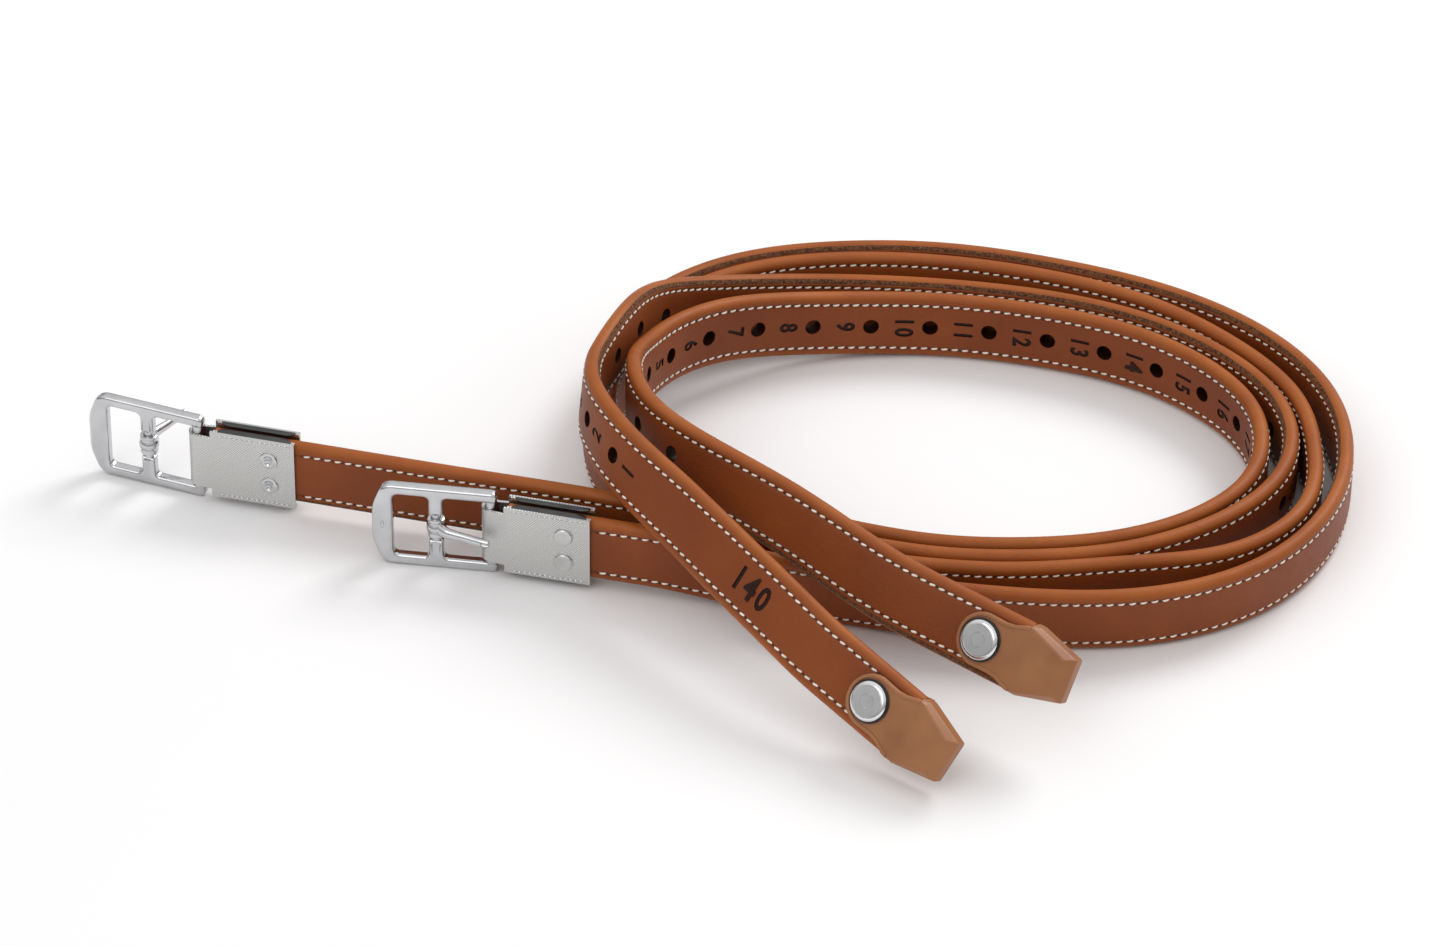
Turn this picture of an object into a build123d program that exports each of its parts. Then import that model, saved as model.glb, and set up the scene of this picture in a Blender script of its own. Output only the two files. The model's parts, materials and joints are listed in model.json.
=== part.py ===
"""A pair of wrapped stirrup leathers, coiled together on edge.

Two equal straps lie as a two-start spiral: the inner strap starts nearest the
middle, the outer strap lies against its outside.  Each strap leaves the coil
twice: its tail lifts over the coil and ends in a moulded tip with a stud, and
its lead runs out along the floor to a riveted steel sleeve and its buckle.

Millimetres, +Z up, floor at z = 0, origin below the middle of the whole pair.
"""
from build123d import *
from math import ceil, cos, radians, sin
import os

# ---------------------------------------------------------------- strap
strap_length = 1386.0      # leather, from the tip's shoulder to its end in the sleeve
strap_width = 22.0
strap_thickness = 5.2
leather_thickness = 1.9
edge_leather = 2.2         # leather beside the webbing at each edge
core_clearance = 0.1
seam_gap = 0.2
facet_length = 8.0
straight_end = 32.0        # of each strap inside its tip or its sleeve and just past them

# ---------------------------------------------------------------- stitching and holes
stitch_inset = 3.35
thread_width = 0.8
thread_crest = 0.5         # width of the thread at its top
thread_height = 0.08
thread_clearance = 0.17
hole_diameter = 5.1
hole_pitch = 19.0
hole_count = 20
first_hole = 134.0         # from the tip's shoulder

# ---------------------------------------------------------------- moulded tip
nose_length = 17.0
nose_width = 14.0
tab_length = 21.0
tab_width = 17.0
tab_thickness = 1.5

# ---------------------------------------------------------------- stud
stud_setback = 13.0        # from the tip's shoulder
cap_diameter = 12.0
cap_height = 1.3
ring_diameter = 13.2
ring_height = 0.5
post_diameter = 4.0
fit_clearance = 0.05
tab_clearance = 0.15

# ---------------------------------------------------------------- steel sleeve and rivets
sleeve_length = 26.0       # over the leather
sleeve_sheet = 0.9
sleeve_lip = 1.6
sleeve_clearance = 0.15
loop_width = 19.0
strap_to_bar = 5.5         # from the leather's end to the middle of the end bar
rivet_spacing = 9.4
rivet_setback = 8.2        # from the sleeve's open end
rivet_head_diameter = 5.8
rivet_head_height = 0.8
rivet_shank_diameter = 3.0

# ---------------------------------------------------------------- buckle and tongue
buckle_height = 29.6
buckle_thickness = 3.6
side_bar = 3.5
bow_width = 6.2
bow_slot = 11.0            # opening between the bow and the centre bar
loop_slot = 12.8           # opening between the centre bar and the end bar
centre_bar = 4.4
neck_height = 9.0
neck_diameter = 3.2
end_bar = 4.0
bar_play = 0.1
buckle_corner = 5.0
bar_round = 0.8
collar_width = 7.0
collar_wall = 1.3
tongue_width = 3.4
tongue_thickness = 2.4
tongue_overhang = 0.5      # past the middle of the end bar
tongue_rest_gap = 0.05

# ---------------------------------------------------------------- lay of the pair
coil_lean = 5.5            # degrees that a standing strap leans outward at the front and back
over_gap = 1.0             # free height under a strap that crosses the coil
outer_buckle_turn = 6.0    # degrees of each buckle from its sleeve
inner_buckle_turn = 6.5
outer_tongue_open = 8.0    # degrees of each tongue off its end bar
inner_tongue_open = 64.0

# One turn of the coil, clockwise from its left end: x and y of the innermost
# lane, then how far the outer strap's first pass, the inner strap's second pass
# and the outer strap's second pass lie outside it, each as a number of strap
# thicknesses and a free distance.
coil = [
    (-27.0, -3.0, (2.0, 1.6), (1.0, 0.8), (2.0, 1.6)),
    (-23.5, 17.0, (1.0, 2.3), (1.0, 5.9), (2.0, 6.7)),
    (-15.0, 33.0, (1.0, 4.0), (2.0, 5.0), (3.0, 5.9)),
    (-1.0, 46.0, (1.0, 7.0), (2.0, 11.6), (3.0, 12.4)),
    (16.0, 54.5, (1.0, 8.2), (2.0, 14.4), (3.0, 15.3)),
    (41.0, 60.5, (1.0, 6.2), (2.0, 13.2), (3.0, 14.1)),
    (69.0, 61.5, (1.0, 2.6), (2.0, 10.2), (3.0, 11.9)),
    (98.0, 56.0, (1.0, 2.7), (2.0, 8.4), (3.0, 10.0)),
    (127.0, 45.0, (1.0, 2.6), (2.0, 5.9), (3.0, 9.0)),
    (149.0, 28.0, (1.0, 2.8), (2.0, 3.8), (3.0, 9.4)),
    (162.0, 8.0, (1.0, 3.6), (2.0, 4.4), (3.0, 9.6)),
    (164.5, -12.0, (1.0, 3.8), (2.0, 5.8), (3.0, 10.2)),
    (157.0, -32.0, (1.0, 2.0), (2.0, 10.6), (3.0, 12.4)),
    (141.0, -47.0, (1.0, 0.8), (2.0, 9.6), (3.0, 14.9)),
    (118.0, -57.0, (1.0, 0.8), (2.0, 2.6), (3.0, 13.4)),
    (91.0, -60.5, (1.0, 0.8), (2.0, 1.6), (3.0, 9.4)),
    (62.0, -58.5, (1.0, 0.8), (2.0, 1.6), (3.0, 6.4)),
    (36.0, -51.0, (1.0, 0.8), (2.0, 2.4), (3.0, 7.2)),
]
# The hidden stretch where the second pass moves out round the left end.
crossover = [
    (12.0, -42.0, (0.0, 0.0), (1.0, 0.8)),
    (-8.0, -31.5, (0.0, 1.0), (1.0, 2.0)),
    (-21.0, -18.0, (0.0, 4.0), (1.0, 5.0)),
]
# How far each first pass has climbed at the coil's first stations, 1 being just
# clear of the coil's top edge.
inner_climb = [1.0, 0.70, 0.52, 0.38, 0.22, 0.06]
outer_climb = [1.18, 1.12, 0.86, 0.44, 0.14, 0.0]
# Tails from the tip's shoulder to the coil: x, y, climb, and the tilt that turns
# the outer face upward, in degrees.
outer_tail = [
    (55.0, -143.0, 0.21, 33), (45.0, -134.0, 0.34, 33), (31.0, -121.4, 0.52, 33),
    (17.0, -106.0, 0.74, 33), (0.5, -85.5, 0.94, 32), (-15.0, -65.5, 1.10, 27),
    (-29.0, -47.0, 1.22, 20), (-37.5, -29.5, 1.26, 12), (-40.5, -14.0, 1.22, 6),
]
inner_tail = [
    (88.0, -126.0, 0.66, 30), (75.5, -117.0, 0.76, 30), (47.5, -96.5, 0.90, 30),
    (30.0, -80.5, 1.02, 28), (16.5, -68.0, 1.09, 25), (-0.5, -53.5, 1.15, 20),
    (-15.0, -38.0, 1.14, 14), (-24.5, -20.5, 1.09, 7),
]
# Leads from the coil to the last bend; the straight run after it takes up what
# is left of the strap's length.
outer_lead = [(0.0, -66.0), (-18.0, -61.5)]
inner_lead = [(8.0, -55.4), (-14.0, -48.8), (-37.0, -42.8)]

coil_top = strap_width + over_gap
buckle_lift = (buckle_height - strap_width) / 2


def outward(stations, index):
    """Outward unit normal of a closed ring of stations."""
    before, after = stations[index - 1], stations[(index + 1) % len(stations)]
    along = Vector(after[0] - before[0], after[1] - before[1], 0).normalized()
    return Vector(-along.Y, along.X, 0)


def lane_row(stations, index, lane, low):
    """Mid-line point, lower-edge height and tilt of a strap standing in one lane."""
    normal = outward(stations, index)
    tilt = -coil_lean * abs(normal.Y)
    offset = lane[0] * strap_thickness + lane[1] - strap_width / 2 * sin(radians(tilt))
    foot = Vector(stations[index][0], stations[index][1], 0) + normal * offset
    return (foot.X, foot.Y, low, tilt)


def route_rows(strap):
    """Every row of a strap's route, from the tip's shoulder to the last bend."""
    ring = coil + crossover
    tail, climb, lead = {
        "outer": (outer_tail, outer_climb, outer_lead),
        "inner": (inner_tail, inner_climb, inner_lead),
    }[strap]
    rows = [(x, y, rise * coil_top, tilt) for x, y, rise, tilt in tail]
    for index, station in enumerate(coil):
        lane = station[2] if strap == "outer" else (0.0, 0.0)
        low = climb[index] * coil_top if index < len(climb) else 0.0
        rows.append(lane_row(ring, index, lane, low))
    for index, station in enumerate(crossover):
        lane = station[3] if strap == "outer" else station[2]
        rows.append(lane_row(ring, index + len(coil), lane, 0.0))
    for index, station in enumerate(coil):
        lane = station[4] if strap == "outer" else station[3]
        rows.append(lane_row(ring, index, lane, 0.0))
    rise = buckle_lift / (len(lead) + 0.5)
    rows += [(x, y, rise * (k + 1), 0.0) for k, (x, y) in enumerate(lead)]
    return rows


def mid_point(row):
    x, y, low, tilt = row
    rise = strap_width / 2 * cos(radians(tilt)) + strap_thickness / 2 * abs(sin(radians(tilt)))
    return Vector(x, y, low + rise)


class Strap:
    """The lay of one strap: places and directions along its mid-line."""

    def __init__(self, name):
        self.name = name
        self.side = 1 if name == "outer" else -1
        rows = route_rows(name)
        points = [mid_point(row) for row in rows]
        run = (points[-1] - points[-2]).normalized()
        run = Vector(run.X, run.Y, 0).normalized()
        laid = Spline(*points).length
        left = strap_length - laid
        lift = buckle_lift - rows[-1][2]
        for share in (0.33, 0.66, 1.0):
            points.append(mid_point(rows[-1]) + run * left * share + Vector(0, 0, lift * share))
        tilts = [row[3] for row in rows] + [0.0] * 3
        self.path = Spline(*points)
        self.length = self.path.length
        self.marks = self.mark_lengths(points, tilts)

    def mark_lengths(self, points, tilts):
        """Tilt against distance along the strap."""
        marks, travelled = [(0.0, tilts[0])], 0.0
        total = sum((b - a).length for a, b in zip(points, points[1:]))
        for a, b, tilt in zip(points, points[1:], tilts[1:]):
            travelled += (b - a).length
            marks.append((travelled / total * self.length, tilt))
        return marks

    def tilt(self, distance):
        for (s0, t0), (s1, t1) in zip(self.marks, self.marks[1:]):
            if distance <= s1:
                return t0 + (t1 - t0) * (distance - s0) / (s1 - s0)
        return self.marks[-1][1]

    def frame(self, distance):
        """Plane at a distance from the shoulder: x along the strap to the tip,
        y across it towards its seamed edge, z out of its numbered face."""
        held = min(max(distance, straight_end), self.length - straight_end)
        along = self.path.tangent_at(held / self.length).normalized()
        place = self.path.position_at(held / self.length) + along * (distance - held)
        left = Vector(0, 0, 1).cross(along).normalized()
        up = along.cross(left)
        angle = radians(self.tilt(held))
        face = left * cos(angle) + up * sin(angle)
        return Plane(origin=place, x_dir=-along, z_dir=face * self.side)


def banded(strap, outline, start=0.0, end=0.0):
    """A solid of flat triangles along the strap, with a cross-section (across, out),
    that begins and stops at the first joint between facets past the given setbacks.

    Each facet is split from its lower corner across to its higher one, so that
    neighbouring pieces are split alike and stay their clearance apart."""
    count = round(strap.length / facet_length)
    facet = strap.length / count
    sections = []
    for k in range(ceil(start / facet), count - ceil(end / facet) + 1):
        plane = strap.frame(facet * k)
        corners = [plane.origin + plane.y_dir * a + plane.z_dir * b for a, b in outline]
        sections.append(corners)
    faces = [Face(Wire.make_polygon(ring, close=True)) for ring in (sections[0], sections[-1])]
    rising = [here < there for here, there in zip(outline, outline[1:] + outline[:1])]
    for ring, after in zip(sections, sections[1:]):
        quads = zip(ring, ring[1:] + ring[:1], after[1:] + after[:1], after)
        for (a, b, c, d), rises in zip(quads, rising):
            halves = ([a, b, c], [a, c, d]) if rises else ([b, c, d], [a, b, d])
            faces += [Face(Wire.make_polygon(half, close=True)) for half in halves]
    return Solid(Shell(faces))


def hole_places():
    return [first_hole + hole_pitch * k for k in range(hole_count)]


def rivet_places():
    """Distances back from the leather's end, and across, of the two rivets."""
    back = sleeve_length - rivet_setback
    return [(back, rivet_spacing / 2), (back, -rivet_spacing / 2)]


def pins(strap, diameter, places):
    """Round bars square to the strap's face."""
    bars = []
    for distance, across in places:
        plane = strap.frame(distance)
        spot = Plane(plane.origin + plane.y_dir * across, x_dir=plane.x_dir, z_dir=plane.z_dir)
        bars.append(spot * Cylinder(diameter / 2, strap_thickness * 3))
    return bars


def piercings(strap):
    """Everything that passes through the leather and its webbing."""
    rivets = [(strap.length - back, across) for back, across in rivet_places()]
    cuts = pins(strap, hole_diameter, [(s, 0.0) for s in hole_places()])
    cuts += pins(strap, rivet_shank_diameter + 2 * fit_clearance, rivets)
    cuts += pins(strap, post_diameter + 2 * fit_clearance, [(stud_setback, 0.0)])
    return cuts


def leather_wrap(strap):
    """One piece of leather folded round the webbing, its raw edge at a seam."""
    half_w, half_t = strap_width / 2, strap_thickness / 2
    room, roof = half_w - edge_leather, half_t - leather_thickness
    outline = [
        (half_w, -half_t), (half_w, half_t), (-half_w, half_t), (-half_w, -half_t),
        (room - seam_gap, -half_t), (room - seam_gap, -roof), (-room, -roof), (-room, roof),
        (room, roof), (room, -half_t),
    ]
    return banded(strap, outline)


def webbing_core(strap):
    half_w = strap_width / 2 - edge_leather - core_clearance
    half_t = strap_thickness / 2 - leather_thickness - core_clearance
    outline = [(half_w, -half_t), (half_w, half_t), (-half_w, half_t), (-half_w, -half_t)]
    return banded(strap, outline)


def stitching(strap, face):
    """The two rows of one thread, on the numbered face (1) or the back (-1)."""
    rows = []
    for edge in (1, -1):
        row = edge * (strap_width / 2 - stitch_inset)
        inner = strap_thickness / 2 + thread_clearance
        outer = inner + thread_height
        outline = [
            (row - thread_width / 2, face * inner), (row + thread_width / 2, face * inner),
            (row + thread_crest / 2, face * outer), (row - thread_crest / 2, face * outer),
        ]
        rows.append(banded(strap, outline, tab_length, sleeve_length))
    return Compound(children=rows)


def moulded_tip(strap):
    """Blunt nose beyond the leather, with a round-ended tab on each face."""
    plane = strap.frame(0.0)
    face = strap_thickness / 2 + tab_clearance
    half = face + tab_thickness
    nose = Polyline(
        (fit_clearance, -strap_width / 2), (nose_length, -nose_width / 2),
        (nose_length, nose_width / 2), (fit_clearance, strap_width / 2), close=True,
    )
    nose = extrude(make_face(nose), half, both=True)
    rims = nose.edges().group_by(Axis.Z)[0] + nose.edges().group_by(Axis.Z)[-1]
    nose = chamfer([rim for rim in rims if rim.center().X > tab_thickness], tab_thickness)
    root = Rectangle(2 * tab_thickness, strap_width - 2 * tab_thickness)
    round_end = Pos(tab_width / 2 - tab_length, 0) * Circle(tab_width / 2)
    tab = make_hull(root.edges() + round_end.edges())
    tabs = [
        Pos(0, 0, face) * extrude(tab, tab_thickness),
        Pos(0, 0, -half) * extrude(tab, tab_thickness),
    ]
    body = plane * (nose + tabs)
    return body - pins(strap, post_diameter + 2 * fit_clearance, [(stud_setback, 0.0)])


def disc(plane, diameter, low, high):
    return plane * Pos(0, 0, (low + high) / 2) * Cylinder(diameter / 2, high - low)


def stud(strap):
    """A cap on a ring on each face, and the post that joins the caps."""
    plane = strap.frame(stud_setback)
    tab_top = strap_thickness / 2 + tab_clearance + tab_thickness + fit_clearance
    ring_top = tab_top + ring_height
    cap_base = ring_top + fit_clearance
    cap_top = cap_base + cap_height
    post_top = cap_top - cap_height / 2
    bore = post_diameter + 2 * fit_clearance
    caps, rings = [], []
    for face in (plane, Plane(plane.origin, x_dir=plane.x_dir, z_dir=-plane.z_dir)):
        hollow = disc(face, bore, 0, post_top + fit_clearance)
        rings.append(disc(face, ring_diameter, tab_top, ring_top) - hollow)
        cap = Pos(0, 0, cap_base) * extrude(Circle(cap_diameter / 2), cap_height)
        cap = face * chamfer(cap.edges().group_by(Axis.Z)[-1], cap_height / 3)
        caps.append(cap - hollow)
    post = disc(plane, post_diameter, -post_top, post_top)
    return Compound(children=caps), Compound(children=rings), post


def steel_sleeve(strap):
    """One sheet folded round the buckle's end bar, a plate on each face."""
    room = strap_thickness / 2 + sleeve_clearance
    inside = Pos(sleeve_length / 2 + 1, 0) * Rectangle(sleeve_length + 2, 2 * room)
    loop = Pos(-strap_to_bar, 0) * Circle(end_bar / 2 + bar_play)
    inside = make_hull(inside.edges() + loop.edges())
    sheet = offset(inside, sleeve_sheet) - inside
    sheet -= Pos(sleeve_length + 10, 0) * Rectangle(20, 20)
    half = strap_width / 2 + sleeve_clearance
    side = Plane.XZ * sheet
    body = extrude(side, half + sleeve_sheet, both=True)
    for edge in (1, -1):
        reach = strap_to_bar + 10
        body -= Pos(-reach / 2 - 0.8, edge * (loop_width / 2 + 10), 0) * Box(reach, 20, 40)
        for face in (1, -1):
            lip = Box(sleeve_length, sleeve_sheet, sleeve_lip)
            height = face * (room + sleeve_sheet - sleeve_lip / 2)
            body += Pos(sleeve_length / 2, edge * (half + sleeve_sheet / 2), height) * lip
    rivets = [(strap.length - back, across) for back, across in rivet_places()]
    return strap.frame(strap.length) * body - pins(strap, rivet_shank_diameter + 2 * fit_clearance, rivets)


def sleeve_rivets(strap):
    """Two rivets with a disc head on each plate."""
    solids = []
    seat = strap_thickness / 2 + sleeve_clearance + sleeve_sheet + fit_clearance
    for back, across in rivet_places():
        plane = strap.frame(strap.length - back)
        spot = Plane(plane.origin + plane.y_dir * across, x_dir=plane.x_dir, z_dir=plane.z_dir)
        rivet = disc(spot, rivet_shank_diameter, -seat, seat)
        rivet += disc(spot, rivet_head_diameter, seat, seat + rivet_head_height)
        rivet += disc(spot, rivet_head_diameter, -seat - rivet_head_height, -seat)
        solids.append(rivet)
    return Compound(children=solids)


def buckle_plane(strap):
    """At the end bar's middle; x towards the strap, y along the bar, turned as it lies."""
    turn = outer_buckle_turn if strap.name == "outer" else inner_buckle_turn
    plane = strap.frame(strap.length)
    origin = plane.origin - plane.x_dir * strap_to_bar
    return Plane(Plane(origin, x_dir=plane.x_dir, z_dir=plane.z_dir) * Rot(0, turn, 0))


neck_place = -(end_bar / 2 + loop_slot + centre_bar / 2)


def buckle_frame(strap):
    """Flat frame with a bow, a necked centre bar and a round end bar."""
    far = -(end_bar / 2 + loop_slot + centre_bar + bow_slot + bow_width)
    near = end_bar / 2 - 0.4
    middle = (far + near) / 2
    plate = Pos(middle, 0) * RectangleRounded(near - far, buckle_height, buckle_corner * 0.6)
    body = extrude(plate, buckle_thickness / 2, both=True)
    body = fillet(body.edges().group_by(Axis.Z)[-1] + body.edges().group_by(Axis.Z)[0], bar_round)
    opening = buckle_height - 2 * side_bar
    for high in (-end_bar / 2, neck_place - centre_bar / 2):
        width = loop_slot if high == -end_bar / 2 else bow_slot
        slot = Pos(high - width / 2, 0) * RectangleRounded(width, opening, 1.2)
        body -= extrude(slot, buckle_thickness, both=True)
    near_cut = Pos(near, 0, 0) * Box(2 * end_bar - 0.8, opening, 2 * buckle_thickness)
    body -= near_cut
    bar = Rot(90, 0, 0) * Cylinder(end_bar / 2, opening + side_bar)
    neck_cut = Pos(neck_place, 0, 0) * Box(centre_bar + 0.02, neck_height, 2 * buckle_thickness)
    neck = Pos(neck_place, 0, 0) * Rot(90, 0, 0) * Cylinder(neck_diameter / 2, neck_height + 1)
    body = body + bar - neck_cut + neck
    return buckle_plane(strap) * body


def buckle_tongue(strap):
    """Collar round the neck and a prong that lies on the sleeve's loop."""
    opened = outer_tongue_open if strap.name == "outer" else inner_tongue_open
    bore = neck_diameter / 2 + bar_play
    collar_radius = bore + collar_wall
    lie = end_bar / 2 + bar_play + sleeve_sheet + tongue_rest_gap + tongue_thickness / 2
    knee = (loop_slot * 0.45, lie * 0.75)
    tip = (-neck_place + tongue_overhang, lie)
    collar_end = Circle(collar_radius)
    knee_end = Pos(*knee) * Circle(tongue_thickness / 2)
    tip_end = Pos(*tip) * Circle(tongue_thickness / 2)
    prong = make_hull(collar_end.edges() + knee_end.edges())
    prong += make_hull(knee_end.edges() + tip_end.edges())
    profile = extrude(Plane.XZ * prong, tongue_width / 2, both=True)
    profile += Rot(90, 0, 0) * Cylinder(collar_radius, collar_width)
    profile -= Rot(90, 0, 0) * Cylinder(bore, 2 * collar_width)
    return buckle_plane(strap) * Pos(neck_place, 0, 0) * Rot(0, -opened, 0) * profile


def strap_nodes(name):
    """Every node of one strap, by name."""
    strap = Strap(name)
    cuts = piercings(strap)
    caps, rings, post = stud(strap)
    nodes = {
        "leather_wrap": leather_wrap(strap) - cuts,
        "webbing_core": webbing_core(strap) - cuts,
        "face_stitching": stitching(strap, 1),
        "back_stitching": stitching(strap, -1),
        "moulded_tip": moulded_tip(strap),
        "stud_caps": caps,
        "stud_rings": rings,
        "stud_post": post,
        "steel_sleeve": steel_sleeve(strap),
        "sleeve_rivets": sleeve_rivets(strap),
        "buckle_frame": buckle_frame(strap),
        "buckle_tongue": buckle_tongue(strap),
    }
    return strap, {name + "_" + key: shape for key, shape in nodes.items()}


def main():
    os.makedirs("parts", exist_ok=True)
    straps, nodes = [], {}
    for name in ("outer", "inner"):
        strap, made = strap_nodes(name)
        straps.append(strap)
        nodes.update(made)
    boxes = [shape.bounding_box() for shape in nodes.values()]
    low_x, high_x = min(b.min.X for b in boxes), max(b.max.X for b in boxes)
    low_y, high_y = min(b.min.Y for b in boxes), max(b.max.Y for b in boxes)
    low_z, high_z = min(b.min.Z for b in boxes), max(b.max.Z for b in boxes)
    shift = Vector(-(low_x + high_x) / 2, -(low_y + high_y) / 2, -low_z)
    for node, shape in nodes.items():
        export_step(Pos(*shift) * shape, "parts/" + node + ".step")
    print("size", round(high_x - low_x, 2), round(high_y - low_y, 2), round(high_z - low_z, 2))
    print("shift", [round(v, 3) for v in shift])
    for strap in straps:
        for place, label in ((0.0, "end bar"), (neck_place, "neck")):
            plane = buckle_plane(strap)
            spot = plane.origin + plane.x_dir * place + shift
            print(strap.name, label, [round(v, 3) for v in spot], "axis",
                  [round(v, 4) for v in plane.y_dir], "face", [round(v, 4) for v in plane.z_dir])
        tip = strap.frame(stud_setback)
        print(strap.name, "stud", [round(v, 3) for v in tip.origin + shift],
              "face", [round(v, 4) for v in tip.z_dir])


main()
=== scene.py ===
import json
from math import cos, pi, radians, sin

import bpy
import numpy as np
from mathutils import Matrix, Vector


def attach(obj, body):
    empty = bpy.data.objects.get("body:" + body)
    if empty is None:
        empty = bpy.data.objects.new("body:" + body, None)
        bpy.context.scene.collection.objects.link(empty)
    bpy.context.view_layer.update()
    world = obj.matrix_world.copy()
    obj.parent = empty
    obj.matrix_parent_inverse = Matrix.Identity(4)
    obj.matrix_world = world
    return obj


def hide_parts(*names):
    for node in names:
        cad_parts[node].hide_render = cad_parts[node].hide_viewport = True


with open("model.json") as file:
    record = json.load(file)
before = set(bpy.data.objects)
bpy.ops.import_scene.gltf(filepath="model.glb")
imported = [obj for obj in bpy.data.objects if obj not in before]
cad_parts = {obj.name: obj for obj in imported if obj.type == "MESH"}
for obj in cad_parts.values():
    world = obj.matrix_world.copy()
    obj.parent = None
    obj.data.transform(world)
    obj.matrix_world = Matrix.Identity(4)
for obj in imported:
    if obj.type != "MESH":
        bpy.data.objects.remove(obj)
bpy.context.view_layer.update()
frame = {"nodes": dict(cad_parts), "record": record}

# %% [markdown]
# # A pair of stirrup leathers, coiled together on edge
# The packed CAD model is the fixed frame: every piece below takes its place from it.
# The straps are flat bands of leather that bend round a coil, so they are swept along a route.
# The metal and the moulded tips are small hard pieces, each modelled flat in its own plane and
# then laid where the frame says.

MM = 0.001
record = frame["record"]
joints = {joint["name"]: joint for joint in record["behaviour"]["joints"]}
bpy.ops.object.select_all(action="DESELECT")

# %% [markdown]
# ## Strap sizes
# A stirrup leather is one strip of leather folded round a nylon webbing and sewn down along both
# edges. These are the sizes of the strap itself, in millimetres.

# %% Strap sizes
strap_length = 1386.0
strap_width = 22.0
strap_thickness = 5.2
straight_end = 32.0  # the stretch at each end that its metal keeps straight
stitch_row = 7.65  # from the middle line to each row of stitches
stitch_pitch = 3.28
first_hole = 134.0  # from the leather's end at the tip
hole_pitch = 19.0
hole_count = 20
size_place = 66.0  # of the length stamped on the strap, from the same end
tab_length = 21.0  # of the tip's tabs, over the leather
sleeve_length = 26.0
coil_top = 23.0  # of the coil, where the tails cross it
coil_lean = 5.5  # in degrees, out of upright on the coil's long sides
buckle_lift = 3.8  # of the lower edge at the buckles, which stand on their wider frames
print("a strap of", strap_length, "x", strap_width, "x", strap_thickness, "mm")
print("holes from", first_hole, "to", first_hole + hole_pitch * (hole_count - 1), "mm")

# %% [markdown]
# ## The route of the straps
# Each strap is followed from its tip: over the coil, round it twice, and out along the floor to its
# buckle. A station on the coil is a place on the innermost lane, with how many strap thicknesses
# and how much free distance each further pass lies outside it. Chosen stations like these are
# easier to change than a drawn curve, and both straps share them. The first strap round, which
# ends up outside, is called outer, and the other inner.

# %% Stations of the coil, the tails and the leads
# x, y, then (thicknesses, free distance) for the outer strap's first pass, the inner strap's
# second pass and the outer strap's second pass; the inner strap's first pass is the lane itself
coil = [
    (-27.0, -3.0, (2.0, 1.6), (1.0, 0.8), (2.0, 1.6)),
    (-23.5, 17.0, (1.0, 2.3), (1.0, 5.9), (2.0, 6.7)),
    (-15.0, 33.0, (1.0, 4.0), (2.0, 5.0), (3.0, 5.9)),
    (-1.0, 46.0, (1.0, 7.0), (2.0, 11.6), (3.0, 12.4)),
    (16.0, 54.5, (1.0, 8.2), (2.0, 14.4), (3.0, 15.3)),
    (41.0, 60.5, (1.0, 6.2), (2.0, 13.2), (3.0, 14.1)),
    (69.0, 61.5, (1.0, 2.6), (2.0, 10.2), (3.0, 11.9)),
    (98.0, 56.0, (1.0, 2.7), (2.0, 8.4), (3.0, 10.0)),
    (127.0, 45.0, (1.0, 2.6), (2.0, 5.9), (3.0, 9.0)),
    (149.0, 28.0, (1.0, 2.8), (2.0, 3.8), (3.0, 9.4)),
    (162.0, 8.0, (1.0, 3.6), (2.0, 4.4), (3.0, 9.6)),
    (164.5, -12.0, (1.0, 3.8), (2.0, 5.8), (3.0, 10.2)),
    (157.0, -32.0, (1.0, 2.0), (2.0, 10.6), (3.0, 12.4)),
    (141.0, -47.0, (1.0, 0.8), (2.0, 9.6), (3.0, 14.9)),
    (118.0, -57.0, (1.0, 0.8), (2.0, 2.6), (3.0, 13.4)),
    (91.0, -60.5, (1.0, 0.8), (2.0, 1.6), (3.0, 9.4)),
    (62.0, -58.5, (1.0, 0.8), (2.0, 1.6), (3.0, 6.4)),
    (36.0, -51.0, (1.0, 0.8), (2.0, 2.4), (3.0, 7.2)),
]
# x, y, then the same pair for the inner and for the outer strap, between their two rounds
crossover = [
    (12.0, -42.0, (0.0, 0.0), (1.0, 0.8)),
    (-8.0, -31.5, (0.0, 1.0), (1.0, 2.0)),
    (-21.0, -18.0, (0.0, 4.0), (1.0, 5.0)),
]
# height of the lower edge at the first stations, as a share of the coil's height
climb = {
    "inner": [1.0, 0.70, 0.52, 0.38, 0.22, 0.06],
    "outer": [1.18, 1.12, 0.86, 0.44, 0.14, 0.0],
}
# x, y, height as a share of the coil's, and tilt in degrees, from the tip to the coil
tail = {
    "outer": [
        (55.0, -143.0, 0.21, 33), (45.0, -134.0, 0.34, 33), (31.0, -121.4, 0.52, 33),
        (17.0, -106.0, 0.74, 33), (0.5, -85.5, 0.94, 32), (-15.0, -65.5, 1.10, 27),
        (-29.0, -47.0, 1.22, 20), (-37.5, -29.5, 1.26, 12), (-40.5, -14.0, 1.22, 6),
    ],
    "inner": [
        (88.0, -126.0, 0.66, 30), (75.5, -117.0, 0.76, 30), (47.5, -96.5, 0.90, 30),
        (30.0, -80.5, 1.02, 28), (16.5, -68.0, 1.09, 25), (-0.5, -53.5, 1.15, 20),
        (-15.0, -38.0, 1.14, 14), (-24.5, -20.5, 1.09, 7),
    ],
}
# x, y on the way from the coil to the buckle
lead = {
    "outer": [(0.0, -66.0), (-18.0, -61.5)],
    "inner": [(8.0, -55.4), (-14.0, -48.8), (-37.0, -42.8)],
}
print("stations:", len(coil), "on the coil,", len(crossover), "on the crossover")

# %% [markdown]
# ## Lanes side by side
# Each pass lies against the one inside it, so its place is the lane's station moved outwards along
# the lane's normal. Working it out this way keeps the passes apart whatever the strap's thickness
# is. A row holds a place on the floor, the height of the strap's lower edge, and its tilt.

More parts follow.
